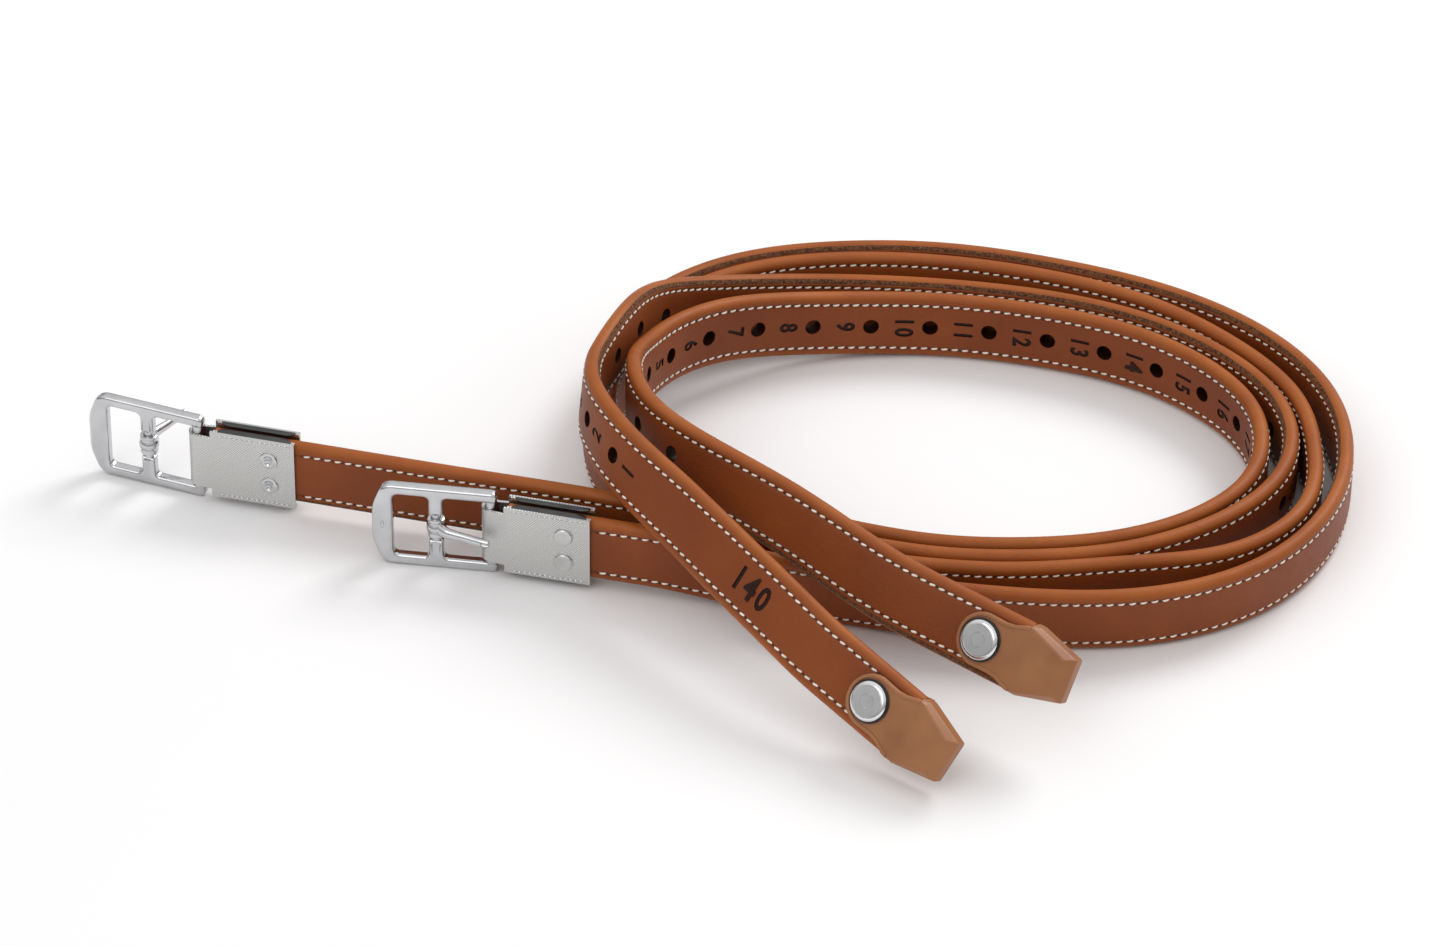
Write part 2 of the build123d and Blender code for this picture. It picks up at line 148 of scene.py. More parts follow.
# %% Rows of the route
def lane_row(stations, index, lane, low):
    """Mid-line place, lower-edge height and tilt of a strap standing in one lane."""
    before, after = stations[index - 1], stations[(index + 1) % len(stations)]
    along = np.array([after[0] - before[0], after[1] - before[1]])
    along /= np.linalg.norm(along)
    normal = np.array([-along[1], along[0]])
    tilt = -coil_lean * abs(normal[1])
    offset = lane[0] * strap_thickness + lane[1] - strap_width / 2 * sin(radians(tilt))
    foot = np.array(stations[index][:2]) + normal * offset
    return (foot[0], foot[1], low, tilt)


def route_rows(strap):
    """All rows of one strap from its tip: tail, first round, crossover, second round, lead."""
    ring = coil + crossover
    outer = strap == "outer"
    rows = [(x, y, rise * coil_top, tilt) for x, y, rise, tilt in tail[strap]]
    for index, station in enumerate(coil):
        low = climb[strap][index] * coil_top if index < len(climb[strap]) else 0.0
        rows.append(lane_row(ring, index, station[2] if outer else (0.0, 0.0), low))
    for index, station in enumerate(crossover):
        rows.append(lane_row(ring, index + len(coil), station[3 if outer else 2], 0.0))
    for index, station in enumerate(coil):
        rows.append(lane_row(ring, index, station[4 if outer else 3], 0.0))
    lift = buckle_lift / (len(lead[strap]) + 0.5)
    rows += [(x, y, lift * (k + 1), 0.0) for k, (x, y) in enumerate(lead[strap])]
    return rows


def mid_point(row):
    """Middle of the strap above a row's place on the floor."""
    x, y, low, tilt = row
    lean = radians(tilt)
    rise = strap_width / 2 * cos(lean) + strap_thickness / 2 * abs(sin(lean))
    return np.array([x, y, low + rise])


print("rows:", {strap: len(route_rows(strap)) for strap in tail})

# %% [markdown]
# ## From rows to a smooth line
# Leather bends in long even curves. A cubic spline through the rows' middle points does the same:
# neither its direction nor its bend jumps at a point. A curve object would do this too, but here
# the place at an exact distance along the leather is wanted, for every hole and stitch.

# %% A smooth curve through points
class Curve:
    """Cubic spline by chord length, its end slopes taken from the four nearest points."""

    def __init__(self, points):
        self.points = np.array(points)
        self.knots = self.walk(self.points)
        self.slopes = self.knot_slopes()
        fine_steps = 12000
        self.fine = np.linspace(0, self.knots[-1], fine_steps)
        self.walked = self.walk(self.at(self.fine))
        self.length = self.walked[-1]

    @staticmethod
    def walk(places):
        """Distance walked from place to place in straight steps, up to each of them."""
        steps = np.linalg.norm(np.diff(places, axis=0), axis=1)
        return np.concatenate([[0.0], np.cumsum(steps)])

    def knot_slopes(self):
        """Slopes at the points that let the curve's bend run on smoothly through each of them."""
        count, h = len(self.points), np.diff(self.knots)
        matrix, right = np.zeros((count, count)), np.zeros((count, 3))
        chords = np.diff(self.points, axis=0) / h[:, None]
        for i in range(1, count - 1):
            matrix[i, i - 1 : i + 2] = h[i], 2 * (h[i - 1] + h[i]), h[i - 1]
            right[i] = 3 * (h[i] * chords[i - 1] + h[i - 1] * chords[i])
        for row, near in ((0, [0, 1, 2, 3]), (count - 1, [-1, -2, -3, -4])):
            matrix[row, row] = 1.0
            right[row] = self.end_slope(self.knots[near], self.points[near])
        return np.linalg.solve(matrix, right)

    @staticmethod
    def end_slope(t, p):
        """Slope at the first of four points of the cubic that passes through them."""
        slope = sum(1 / (t[0] - t[k]) for k in (1, 2, 3)) * p[0]
        for k in (1, 2, 3):
            others = [j for j in (1, 2, 3) if j != k]
            top = (t[0] - t[others[0]]) * (t[0] - t[others[1]])
            below = (t[k] - t[0]) * (t[k] - t[others[0]]) * (t[k] - t[others[1]])
            slope = slope + top / below * p[k]
        return slope

    def at(self, t):
        """Places on the curve at an array of knot values."""
        k = np.clip(np.searchsorted(self.knots, t, side="right") - 1, 0, len(self.knots) - 2)
        h = (self.knots[k + 1] - self.knots[k])[:, None]
        s = (t - self.knots[k])[:, None] / h
        start, end = self.points[k], self.points[k + 1]
        go, come = self.slopes[k] * h, self.slopes[k + 1] * h
        return (
            (2 * s**3 - 3 * s**2 + 1) * start + (s**3 - 2 * s**2 + s) * go
            + (3 * s**2 - 2 * s**3) * end + (s**3 - s**2) * come
        )

    def along(self, distance):
        """The place at a distance along the curve, and the direction there."""
        t = np.interp(distance, self.walked, self.fine)
        near = 0.05
        ends = self.at(np.array([max(t - near, 0.0), min(t + near, self.knots[-1])]))
        direction = ends[1] - ends[0]
        return self.at(np.array([t]))[0], direction / np.linalg.norm(direction)


quarter = Curve([(cos(a), sin(a), 0.0) for a in np.linspace(0, pi / 2, 9)])
print("a quarter turn measures", round(quarter.length, 5), "and should be", round(pi / 2, 5))

# %% [markdown]
# ## Axes along the leather
# At any distance from the tip, a small set of axes tells which way the strap runs, which way is
# across it, and which way its numbered face looks. Every later piece of the strap is placed with
# these axes, so one change of the route moves them all. The two straps lie face to face, so the
# inner one's face looks the other way.

# %% The lay of one strap
class Strap:
    """One strap on its route. The last straight run is as long as the leather that is left."""

    def __init__(self, name, shift):
        self.name, self.shift = name, shift
        self.side = 1 if name == "outer" else -1
        rows = route_rows(name)
        points = [mid_point(row) for row in rows]
        run = points[-1] - points[-2]
        run[2] = 0.0
        run /= np.linalg.norm(run)
        left = strap_length - Curve(points).length
        lift = np.array([0.0, 0.0, buckle_lift - rows[-1][2]])
        shares = (0.33, 0.66, 1.0)
        points += [mid_point(rows[-1]) + run * left * share + lift * share for share in shares]
        self.curve = Curve(points)
        self.length = self.curve.length
        chords = Curve.walk(points)
        self.marks = chords / chords[-1] * self.length
        self.tilts = [row[3] for row in rows] + [0.0] * len(shares)

    def frame(self, distance):
        """Place, and the directions to the tip, across to the seamed edge, and out of the face."""
        held = min(max(distance, straight_end), self.length - straight_end)
        place, along = self.curve.along(held)
        place = place + along * (distance - held)
        left = np.cross([0, 0, 1], along)
        left /= np.linalg.norm(left)
        up = np.cross(along, left)
        angle = radians(np.interp(held, self.marks, self.tilts))
        face = (left * cos(angle) + up * sin(angle)) * self.side
        return place + self.shift, -along, np.cross(face, -along), face

    def matrix(self, distance):
        """The same axes as a matrix, for laying a piece that was modelled flat in millimetres."""
        place, x, y, z = self.frame(distance)
        axes = Matrix((Vector(x), Vector(y), Vector(z))).transposed().to_4x4()
        return Matrix.Translation(Vector(place * MM)) @ axes @ Matrix.Scale(MM, 4)


print("Strap has", [word for word in vars(Strap) if not word.startswith("_")])

# %% [markdown]
# ## Into the frame's place
# The stations were chosen around an origin of their own. The frame knows where each buckle's end
# bar turns, and that bar stands a fixed distance beyond the leather's end, so the difference says
# how far each strap has to be moved. Both straps should move by the same amount.

# %% Both straps, laid in the frame's own origin
bar_beyond_leather = 5.5
straps = {}
for name in ("outer", "inner"):
    loose = Strap(name, np.zeros(3))
    end, to_tip, _, _ = loose.frame(loose.length)
    hinge = np.array(joints[name + "_buckle_hinge"]["pos_m"]) / MM
    straps[name] = Strap(name, hinge - (end - to_tip * bar_beyond_leather))
    print(name, "length", round(loose.length, 2), "moved", straps[name].shift.round(3))

# %% [markdown]
# ## Finishes
# Every finish starts from what the real material is. One function turns an sRGB hex colour into
# Blender's linear values, and one adds a node with its settings and links, so that each material
# below reads as a list of what the eye sees: base colour, variation, wear, then bump.

# %% Colour and node helpers
def colour(code):
    """Linear red, green, blue and alpha of an sRGB hex colour."""
    values = [int(code[k : k + 2], 16) / 255 for k in (1, 3, 5)]
    return [v / 12.92 if v <= 0.04045 else ((v + 0.055) / 1.055) ** 2.4 for v in values] + [1.0]


def add(tree, kind, links=None, **settings):
    """Adds a node; links maps its input to another node's output, settings are its properties."""
    node = tree.nodes.new(kind)
    for key, value in settings.items():
        setattr(node, key, value)
    for key, value in (links or {}).items():
        if isinstance(value, bpy.types.NodeSocket):
            tree.links.new(value, node.inputs[key])
        else:
            node.inputs[key].default_value = value
    return node


def material(name, **sockets):
    """A new material, its node tree and its shader, with plain sockets set on the shader."""
    made = bpy.data.materials.new(name)
    made.use_nodes = True
    shader = made.node_tree.nodes["Principled BSDF"]
    for key, value in sockets.items():
        shader.inputs[key.replace("_", " ")].default_value = value
    return made, made.node_tree, shader


def ramp(tree, value, stops):
    """Colours, or plain levels from 0 to 1, at chosen places of a value."""
    node = add(tree, "ShaderNodeValToRGB", {"Fac": value})
    points = node.color_ramp.elements
    while len(points) < len(stops):
        points.new(0.5)
    for point, (where, tone) in zip(points, stops):
        point.position = where
        point.color = colour(tone) if isinstance(tone, str) else (tone, tone, tone, 1.0)
    return node.outputs["Color"]


def sums(tree, kind, *values):
    """One Math node on its values, which are outputs or plain numbers."""
    return add(tree, "ShaderNodeMath", dict(enumerate(values)), operation=kind).outputs[0]


def blend(tree, share, one, other):
    """From one colour to the other by a share; each is an output or a hex colour."""
    node = add(tree, "ShaderNodeMix", {0: share}, data_type="RGBA")
    for key, value in ((6, one), (7, other)):
        if isinstance(value, bpy.types.NodeSocket):
            tree.links.new(value, node.inputs[key])
        else:
            node.inputs[key].default_value = colour(value)
    return node.outputs[2]


def noise(tree, where, size_mm, detail=3.0, roughness=0.5):
    """Noise whose blobs are about size_mm across, on coordinates in metres."""
    node = add(tree, "ShaderNodeTexNoise", {"Vector": where, "Scale": 1 / (size_mm * MM)})
    node.inputs["Detail"].default_value = detail
    node.inputs["Roughness"].default_value = roughness
    return node.outputs["Fac"]


def bump(tree, shader, height, depth_mm, strength=1.0):
    """Relief of a depth in millimetres on the shader's normal."""
    links = {"Height": height, "Distance": depth_mm * MM, "Strength": strength}
    tree.links.new(add(tree, "ShaderNodeBump", links).outputs[0], shader.inputs["Normal"])


print("cognac in linear values", [round(v, 3) for v in colour("#8C4515")])

# %% [markdown]
# ### Vegetable-tanned bridle leather, cognac
# The leather is dyed and waxed. Where it is pulled round the edges it is stretched, so it looks
# lighter and more orange there; between the stitch rows it is redder and darker. Its grain is a
# fine pebble about half a millimetre across. The map's second value is the distance across the
# strap, so one pattern can follow the strap round every bend.

# %% Leather
def leather_finish():
    """Waxed leather: soft, low gloss, mottled brown, lighter where it is pulled round an edge."""
    made, tree, shader = material(
        "cognac_bridle_leather", Roughness=0.5, Specular_IOR_Level=0.3
    )
    where = add(tree, "ShaderNodeTexCoord").outputs["Object"]
    strap_map = add(tree, "ShaderNodeUVMap", uv_map="strap").outputs[0]
    along, across, _ = add(tree, "ShaderNodeSeparateXYZ", {0: strap_map}).outputs
    reach = sums(tree, "ABSOLUTE", across)
    tones = ramp(tree, noise(tree, where, 34, 2.0), [(0.30, "#7B380F"), (0.72, "#8C4515")])
    # from the sewn rows outwards the leather is stretched and lighter
    edge = add(tree, "ShaderNodeMapRange", {0: reach, 1: 8.0 * MM, 2: 10.4 * MM}).outputs[0]
    edge_tone = ramp(tree, noise(tree, where, 22, 2.0), [(0.3, "#964C16"), (0.75, "#AB5E21")])
    base = blend(tree, edge, tones, edge_tone)
    mottled = noise(tree, where, 3.2, 4.0, 0.6)
    base = blend(tree, sums(tree, "MULTIPLY", mottled, 0.22), base, "#642B10")
    # painted shade: a thin dark line in the sewn channel, darkest at the needle holes between two
    # stitches
    step = sums(tree, "FRACT", sums(tree, "DIVIDE", along, stitch_pitch * MM))
    gap = sums(tree, "ABSOLUTE", sums(tree, "SUBTRACT", step, 0.5))
    spot = add(tree, "ShaderNodeMapRange", {0: gap, 1: 0.30, 2: 0.44}).outputs[0]
    row = sums(tree, "ABSOLUTE", sums(tree, "SUBTRACT", reach, stitch_row * MM))
    channel = add(tree, "ShaderNodeMapRange", {0: row, 1: 0.62 * MM, 2: 0.28 * MM}).outputs[0]
    depth = sums(tree, "ADD", sums(tree, "MULTIPLY", spot, 0.5), 0.26)
    channel_shade = sums(tree, "MULTIPLY", channel, depth)
    base = blend(tree, channel_shade, base, "#2E130A")
    tree.links.new(base, shader.inputs["Base Color"])
    worn = add(tree, "ShaderNodeMapRange", {0: mottled, 3: 0.42, 4: 0.58}).outputs[0]
    tree.links.new(worn, shader.inputs["Roughness"])
    pebble_size = 0.55 * MM
    cells = add(tree, "ShaderNodeTexVoronoi", {"Vector": where, "Scale": 1 / pebble_size})
    pebble = sums(tree, "MULTIPLY", cells.outputs["Distance"], 0.7)
    grain = sums(tree, "ADD", pebble, noise(tree, where, 1.4, 3.0))
    bump(tree, shader, grain, 0.08, 0.85)
    return made


leather = leather_finish()
print(leather.name, "has", len(leather.node_tree.nodes), "nodes")

# %% [markdown]
# ### Cut edges, tool marks and thread
# Where leather is cut, its bare fibre shows: matt, tan and pitted. Where a hot punch or stamp has
# pressed it, it is burnished dark; inside the punched holes that dark is also painted shade. The
# thread is thick waxed polyester, which reads as off-white with a soft sheen. Three small materials
# keep these apart.

# %% Cut edge, burnished and shaded leather, and thread
def raw_edge_finish():
    """Cut edge: bare fibre, tan, not dyed through, darker in its pits as painted shade."""
    made, tree, shader = material("raw_cut_edge", Roughness=0.92)
    where = add(tree, "ShaderNodeTexCoord").outputs["Object"]
    fibre_and_pit_shade = noise(tree, where, 0.9, 5.0, 0.7)
    # one noise gives the relief and the colour, so the pits are darkest: painted shade
    stops = [(0.33, "#2A140A"), (0.45, "#55301A"), (0.6, "#7C502C"), (0.75, "#9A6C42")]
    tree.links.new(ramp(tree, fibre_and_pit_shade, stops), shader.inputs["Base Color"])
    bump(tree, shader, fibre_and_pit_shade, 0.35, 1.0)
    return made


def pressed_finish():
    """Punched walls and stamped figures: leather burnished dark by the tool, with painted shade in
    the holes.
    """
    made, tree, shader = material(
        "burnished_punched_leather", Roughness=0.5, Specular_IOR_Level=0.2
    )
    where = add(tree, "ShaderNodeTexCoord").outputs["Object"]
    speck = noise(tree, where, 0.7, 3.0)
    # near-black: burnish from the tool, and painted shade inside the punched holes
    tones = ramp(tree, speck, [(0.3, "#1C0B05"), (0.75, "#34160A")])
    tree.links.new(tones, shader.inputs["Base Color"])
    bump(tree, shader, speck, 0.04, 0.6)
    return made


def thread_finish():
    """Waxed polyester thread, off-white, two strands twisted."""
    made, tree, shader = material("waxed_sewing_thread", Roughness=0.55)
    where = add(tree, "ShaderNodeTexCoord").outputs["Object"]
    tones = ramp(tree, noise(tree, where, 1.6, 2.0), [(0.3, "#D9CDBE"), (0.7, "#F6F0E6")])
    tree.links.new(tones, shader.inputs["Base Color"])
    bump(tree, shader, noise(tree, where, 0.22, 1.0), 0.04, 0.5)
    return made


raw_edge = raw_edge_finish()
shaded_and_burnished = pressed_finish()
thread = thread_finish()
print("made", raw_edge.name, shaded_and_burnished.name, thread.name)

# %% [markdown]
# ### Moulded thermoplastic and enamel
# The tip is a rubbery thermoplastic with a fine spark-eroded surface: light goes a little way into
# it, and its gloss is broad. The rings under the stud's caps are black enamelled metal, which is
# smooth and bright, so it is nearly all reflection.

# %% Plastic and enamel
def tip_finish():
    """Tan thermoplastic, faintly cloudy, with a fine moulded texture."""
    made, tree, shader = material(
        "moulded_tan_thermoplastic", Roughness=0.42, Subsurface_Weight=0.08,
        Subsurface_Scale=1.5 * MM,
    )
    where = add(tree, "ShaderNodeTexCoord").outputs["Object"]
    tones = ramp(tree, noise(tree, where, 14, 2.0), [(0.3, "#915A34"), (0.7, "#A36C42")])
    tree.links.new(tones, shader.inputs["Base Color"])
    bump(tree, shader, noise(tree, where, 0.5, 2.0), 0.03, 0.5)
    return made


def ring_finish():
    """Black enamel, glossy, with a trace of unevenness."""
    made, tree, shader = material("black_enamel_ring", Roughness=0.25)
    where = add(tree, "ShaderNodeTexCoord").outputs["Object"]
    tones = ramp(tree, noise(tree, where, 2.0), [(0.3, "#141211"), (0.8, "#231F1D")])
    tree.links.new(tones, shader.inputs["Base Color"])
    return made


tip_plastic = tip_finish()
black_ring = ring_finish()
print("made", tip_plastic.name, black_ring.name)

# %% [markdown]
# ### Steel and chrome
# The buckles are cast stainless steel, tumbled to a satin. Rivets are turned, and the caps are
# polished and chromed, so they differ mostly in how sharp their reflections are. The sleeves are
# pressed from sheet with a fine woven knurl rolled into it. Metals keep the default IOR.

# %% Metals
def satin_steel_finish(name, tone, rough):
    """Bright metal with a fine tooth, its gloss a little uneven from tumbling or handling."""
    made, tree, shader = material(name, Metallic=1.0, Roughness=rough)
    where = add(tree, "ShaderNodeTexCoord").outputs["Object"]
    cloud = noise(tree, where, 5.0, 3.0)
    tones = ramp(tree, cloud, [(0.25, tone[0]), (0.8, tone[1])])
    tree.links.new(tones, shader.inputs["Base Color"])
    spread = add(tree, "ShaderNodeMapRange", {0: cloud, 3: rough - 0.06, 4: rough + 0.08})
    tree.links.new(spread.outputs[0], shader.inputs["Roughness"])
    bump(tree, shader, noise(tree, where, 0.35, 2.0), 0.006, 0.4)
    return made


def knurled_steel_finish():
    """Rolled woven knurl: two crossed waves, along the sheet and up it, darker in its hollows as
    painted shade.
    """
    made, tree, shader = material("knurled_steel_sheet", Metallic=1.0, Roughness=0.33)
    where = add(tree, "ShaderNodeTexCoord").outputs["Object"]
    x, _, z = add(tree, "ShaderNodeSeparateXYZ", {0: where}).outputs
    turns = 2 * pi / (knurl_pitch * MM)
    level = sums(tree, "SINE", sums(tree, "MULTIPLY", x, turns))
    rise = sums(tree, "SINE", sums(tree, "MULTIPLY", z, turns))
    weave = sums(tree, "MULTIPLY", level, rise)
    # darker where the knurl is lower: painted shade in its hollows
    hollow_shade = add(tree, "ShaderNodeMapRange", {0: weave, 1: -1.0, 2: 0.6}).outputs[0]
    tones = ramp(tree, hollow_shade, [(0.0, "#A6A6A5"), (0.6, "#CDCDCB"), (1.0, "#DCDCDA")])
    tree.links.new(tones, shader.inputs["Base Color"])
    bump(tree, shader, weave, 0.06, 0.75)
    return made


knurl_pitch = 0.9  # millimetres from wave to wave
buckle_steel = satin_steel_finish("tumbled_stainless_casting", ("#C2C2C4", "#D2D2D4"), 0.17)
rivet_steel = satin_steel_finish("turned_rivet_steel", ("#C0C0C1", "#D4D4D4"), 0.22)
cap_chrome = satin_steel_finish("polished_chrome_cap", ("#DADADB", "#E8E8E9"), 0.1)
sleeve_steel = knurled_steel_finish()
burnished_fold = satin_steel_finish("burnished_folded_steel", ("#4A4A4B", "#5E5E5F"), 0.3)
print("metals:", [metal.name for metal in (buckle_steel, rivet_steel, cap_chrome, sleeve_steel)])

# %% [markdown]
# ## The leather wrap
# The section of the strap is drawn once, as places across and out of the strap: a flat middle, a
# sewn channel on each side where the thread pulls the leather in, and round folded edges. At the
# seamed edge the fold stops short and its cut edge shows as a narrow band. A plain bar with
# bevelled edges would be quicker, but these small dips are what makes it look sewn.

# %% Section of the strap
def strap_section():
    """Places (across, out) round the section, and which stretches of it are the cut edge."""
    half = strap_thickness / 2
    channel, fold = 0.34, 2.42  # depth of the sewn channel, and radius of the folded edge
    # half of the numbered face, from its middle to just past the row of stitches
    face = [(0.0, half), (3.0, half), (5.6, half - 0.02), (6.7, half - 0.06), (7.2, half - 0.16)]
    face += [(stitch_row, half - channel), (8.1, half - 0.2)]
    bend = strap_width / 2 - fold
    arc = [(bend + fold * sin(radians(a)), fold * cos(radians(a))) for a in range(6, 175, 14)]
    back = [(a, -b) for a, b in reversed(face)]
    plain_half = face + arc + back
    # on the seamed edge the fold stops short, and the cut edge turns back in under it
    folded = [p for p in arc if p[1] > -1.7]
    cut = [(9.98, -1.98), (9.6, -2.2), (9.2, -2.4), (9.04, -2.2), (8.74, -2.42)]
    seamed = face + folded + cut + back[1:]
    mirrored = [(-a, b) for a, b in reversed(plain_half)][1:-1]
    outline = seamed + mirrored
    start = len(face) + len(folded)
    return outline, range(start - 1, start + 3)


section, cut_faces = strap_section()
print("section points", len(section), "of which cut edge", len(cut_faces))

# %% [markdown]
# ### Handling a piece
# The same few moves come back for every piece: put it in the scene, select it alone, apply a
# modifier to it, coat it with one finish, turn its faces outwards, shade it smooth up to an angle.
# Operators act on whatever is selected, so each helper first selects its own piece.

# %% Moves that every piece needs
def placed(name, data):
    """A new object in the scene around a mesh or a curve."""
    piece = bpy.data.objects.new(name, data)
    bpy.context.collection.objects.link(piece)
    return piece


def mesh_piece(name, places, faces, finishes, edges=()):
    """A new piece from places, the faces between them and its finishes."""
    mesh = bpy.data.meshes.new(name)
    mesh.from_pydata([tuple(p) for p in places], edges, faces)
    mesh.update()
    for finish in finishes:
        mesh.materials.append(finish)
    return placed(name, mesh)


def coat(piece, finish):
    """Gives a piece one finish, in place of any others."""
    piece.data.materials.clear()
    piece.data.materials.append(finish)
    return piece


def only(piece):
    """Selects one piece and makes it active, for the operators that follow."""
    bpy.ops.object.select_all(action="DESELECT")
    piece.select_set(True)
    bpy.context.view_layer.objects.active = piece


def face_outwards(piece):
    """Turns all faces of a closed piece outwards."""
    only(piece)
    bpy.ops.object.mode_set(mode="EDIT")
    bpy.ops.mesh.select_all(action="SELECT")
    bpy.ops.mesh.normals_make_consistent(inside=False)
    bpy.ops.object.mode_set(mode="OBJECT")


def apply_modifier(piece, kind, **settings):
    """Adds a modifier with its settings and applies it."""
    only(piece)
    modifier = piece.modifiers.new(kind.title(), kind)
    for key, value in settings.items():
        setattr(modifier, key, value)
    bpy.ops.object.modifier_apply(modifier=modifier.name)


def smooth(piece, angle):
    """Smooth shading, with sharp edges where faces meet at more than an angle in degrees."""
    only(piece)
    bpy.ops.object.shade_smooth_by_angle(angle=radians(angle))


# %% [markdown]
# ### The skin along the route
# The section is repeated every few millimetres and bridged into one skin. A curve with a bevel
# shape would sweep it too, but it would not keep the section upright through the coil. The skin
# carries a map of the distance along the strap and across it, in metres, which the leather's
# pattern follows round every bend.

# %% Sweep
section_spacing = 2.4


def swept_strap(strap):
    """The strap's skin, closed at both ends, with the distance along and across as its map."""
    count = int(strap.length / section_spacing)
    distances = np.linspace(0, strap.length, count + 1)
    ring = len(section)
    places, u = [], []
    for distance in distances:
        middle, _, across, out = strap.frame(distance)
        places += [(middle + across * a + out * b) * MM for a, b in section]
        u.append(distance * MM)
    faces, cut, around = [], [], []
    for k in range(count):
        for i in range(ring):
            j = (i + 1) % ring
            faces.append((k * ring + i, k * ring + j, (k + 1) * ring + j, (k + 1) * ring + i))
            cut.append(i in cut_faces)
            around.append([(u[k], i), (u[k], j), (u[k + 1], j), (u[k + 1], i)])
    faces.append(tuple(range(ring)))
    faces.append(tuple(range(count * ring, count * ring + ring))[::-1])
    around.append([(u[0], i) for i in range(ring)])
    around.append([(u[-1], i) for i in range(ring)][::-1])
    name = strap.name + "_leather_wrap_skin"
    piece = mesh_piece(name, places, faces, [leather, raw_edge, shaded_and_burnished])
    mesh = piece.data
    layer = mesh.uv_layers.new(name="strap")
    flat = [(d, section[i][0] * MM) for corner in around for d, i in corner]
    layer.data.foreach_set("uv", np.array(flat).ravel())
    for polygon, is_cut in zip(mesh.polygons, cut):
        polygon.material_index = 1 if is_cut else 0
    face_outwards(piece)
    return piece


skins = {name: swept_strap(strap) for name, strap in straps.items()}
print("faces in a skin", len(skins["outer"].data.polygons))

# %% [markdown]
# ### Copies, laid where they belong
# A punch, a figure or a rivet is modelled once, flat and in millimetres, and each place gets a
# copy with a mesh of its own. Moving the mesh and not the object leaves every object at the
# origin, so patterns on it do not slide. A mirroring move turns faces inside out, so they are
# turned back.

# %% Copying, laying and joining
def joined(pieces, name):
    """All of the pieces as one, under a new name."""
    bpy.ops.object.select_all(action="DESELECT")
    for piece in pieces:
        piece.select_set(True)
    bpy.context.view_layer.objects.active = pieces[0]
    if len(pieces) > 1:
        bpy.ops.object.join()
    piece = bpy.context.view_layer.objects.active
    piece.name = piece.data.name = name
    return piece


def lay(piece, matrix):
    """Moves a piece's mesh, leaving its object at the origin."""
    piece.data.transform(matrix @ piece.matrix_world)
    piece.matrix_world = Matrix.Identity(4)
    if matrix.determinant() < 0:
        piece.data.flip_normals()
    return piece


def copy_of(model):
    """A copy of a finished model, with a mesh of its own."""
    piece = model.copy()
    piece.data = model.data.copy()
    bpy.context.collection.objects.link(piece)
    return piece


def copies(model, matrices):
    """A copy of the model laid by each matrix. The model itself is removed."""
    made = [lay(copy_of(model), matrix) for matrix in matrices]
    bpy.data.objects.remove(model)
    return made


def raised(height):
    return Matrix.Translation((0, 0, height))


def flipped(matrix):
    """The same place seen from the strap's other face."""
    return matrix @ Matrix.Rotation(pi, 4, "X")


print("a flipped place looks along", list(flipped(Matrix()).col[2][:3]))

# %% [markdown]
# ## Punched holes and stamped figures
# Each strap has twenty punched holes with a plain number beside each, so that both can be set
# alike, and its length in centimetres near the tip. The punch is a round bar, and the stamps are
# bold figures raised from text. They could be drawn into the leather's colour, but as solids they
# leave real holes and figures with depth.

# %% Punch and stamps
hole_radius = 2.5
hole_figures, size_figures = 7.9, 10.5  # text sizes, about 0.7 of which is a figure's height
stamped_size = "140"  # the strap's length in centimetres
stamps = {}


def punch():
    """A bar that is longer than the leather is thick."""
    bpy.ops.mesh.primitive_cylinder_add(vertices=28, radius=hole_radius, depth=9.0)
    return coat(bpy.context.object, shaded_and_burnished)


def stamp(digit, size):
    """One bold, slightly narrow figure as a low block in its own plane, modelled once."""
    if (digit, size) not in stamps:
        bpy.ops.object.text_add()
        text = bpy.context.object.data
        text.body, text.size = digit, size
        text.align_x, text.align_y = "CENTER", "CENTER"
        text.extrude, text.offset, text.resolution_u = 0.34, size * 0.036, 3
        bpy.ops.object.convert(target="MESH")
        piece = coat(bpy.context.object, shaded_and_burnished)
        apply_modifier(piece, "WELD", merge_threshold=0.01)
        stamps[digit, size] = lay(piece, Matrix.Diagonal((0.8, 1.0, 1.0, 1.0)))
    return stamps[digit, size]


round_punch = punch()
for digit in "0123456789":
    stamp(digit, hole_figures)
for digit in stamped_size:
    stamp(digit, size_figures)
print("stamps", len(stamps), "punch faces", len(round_punch.data.polygons))

# %% [markdown]
# ### Rows of holes and numbers
# A two-figure number is stamped as one figure above the other across the strap, with their tops
# to the buckle. The length is read along the strap, towards its tip. Both are sunk by the half of
# their own height that lies below the strap's face.

# %% Numbers in their places
number_before_hole = 8.6
figure_step, size_step = 3.9, 5.4
sunk = raised(strap_thickness / 2 + 0.02)


def hole_number(strap, distance, number):
    """Figures of a hole's number, one above another across the strap."""
    digits = str(number)
    turn = Matrix.Rotation(radians(90), 4, "Z")
    pieces = []
    for k, digit in enumerate(digits):
        row = Matrix.Translation((0, (k - (len(digits) - 1) / 2) * figure_step, 0))
        where = strap.matrix(distance) @ sunk @ row @ turn
        pieces.append(lay(copy_of(stamp(digit, hole_figures)), where))
    return pieces


def size_number(strap, distance):
    """Figures of the strap's length, side by side along the strap."""
    pieces = []
    for k, digit in enumerate(stamped_size):
        place = distance + ((len(stamped_size) - 1) / 2 - k) * size_step
        pieces.append(lay(copy_of(stamp(digit, size_figures)), strap.matrix(place) @ sunk))
    return pieces


last_hole = first_hole + hole_pitch * (hole_count - 1)
print("the last hole is at", last_hole, "and its number at", last_hole - number_before_hole)
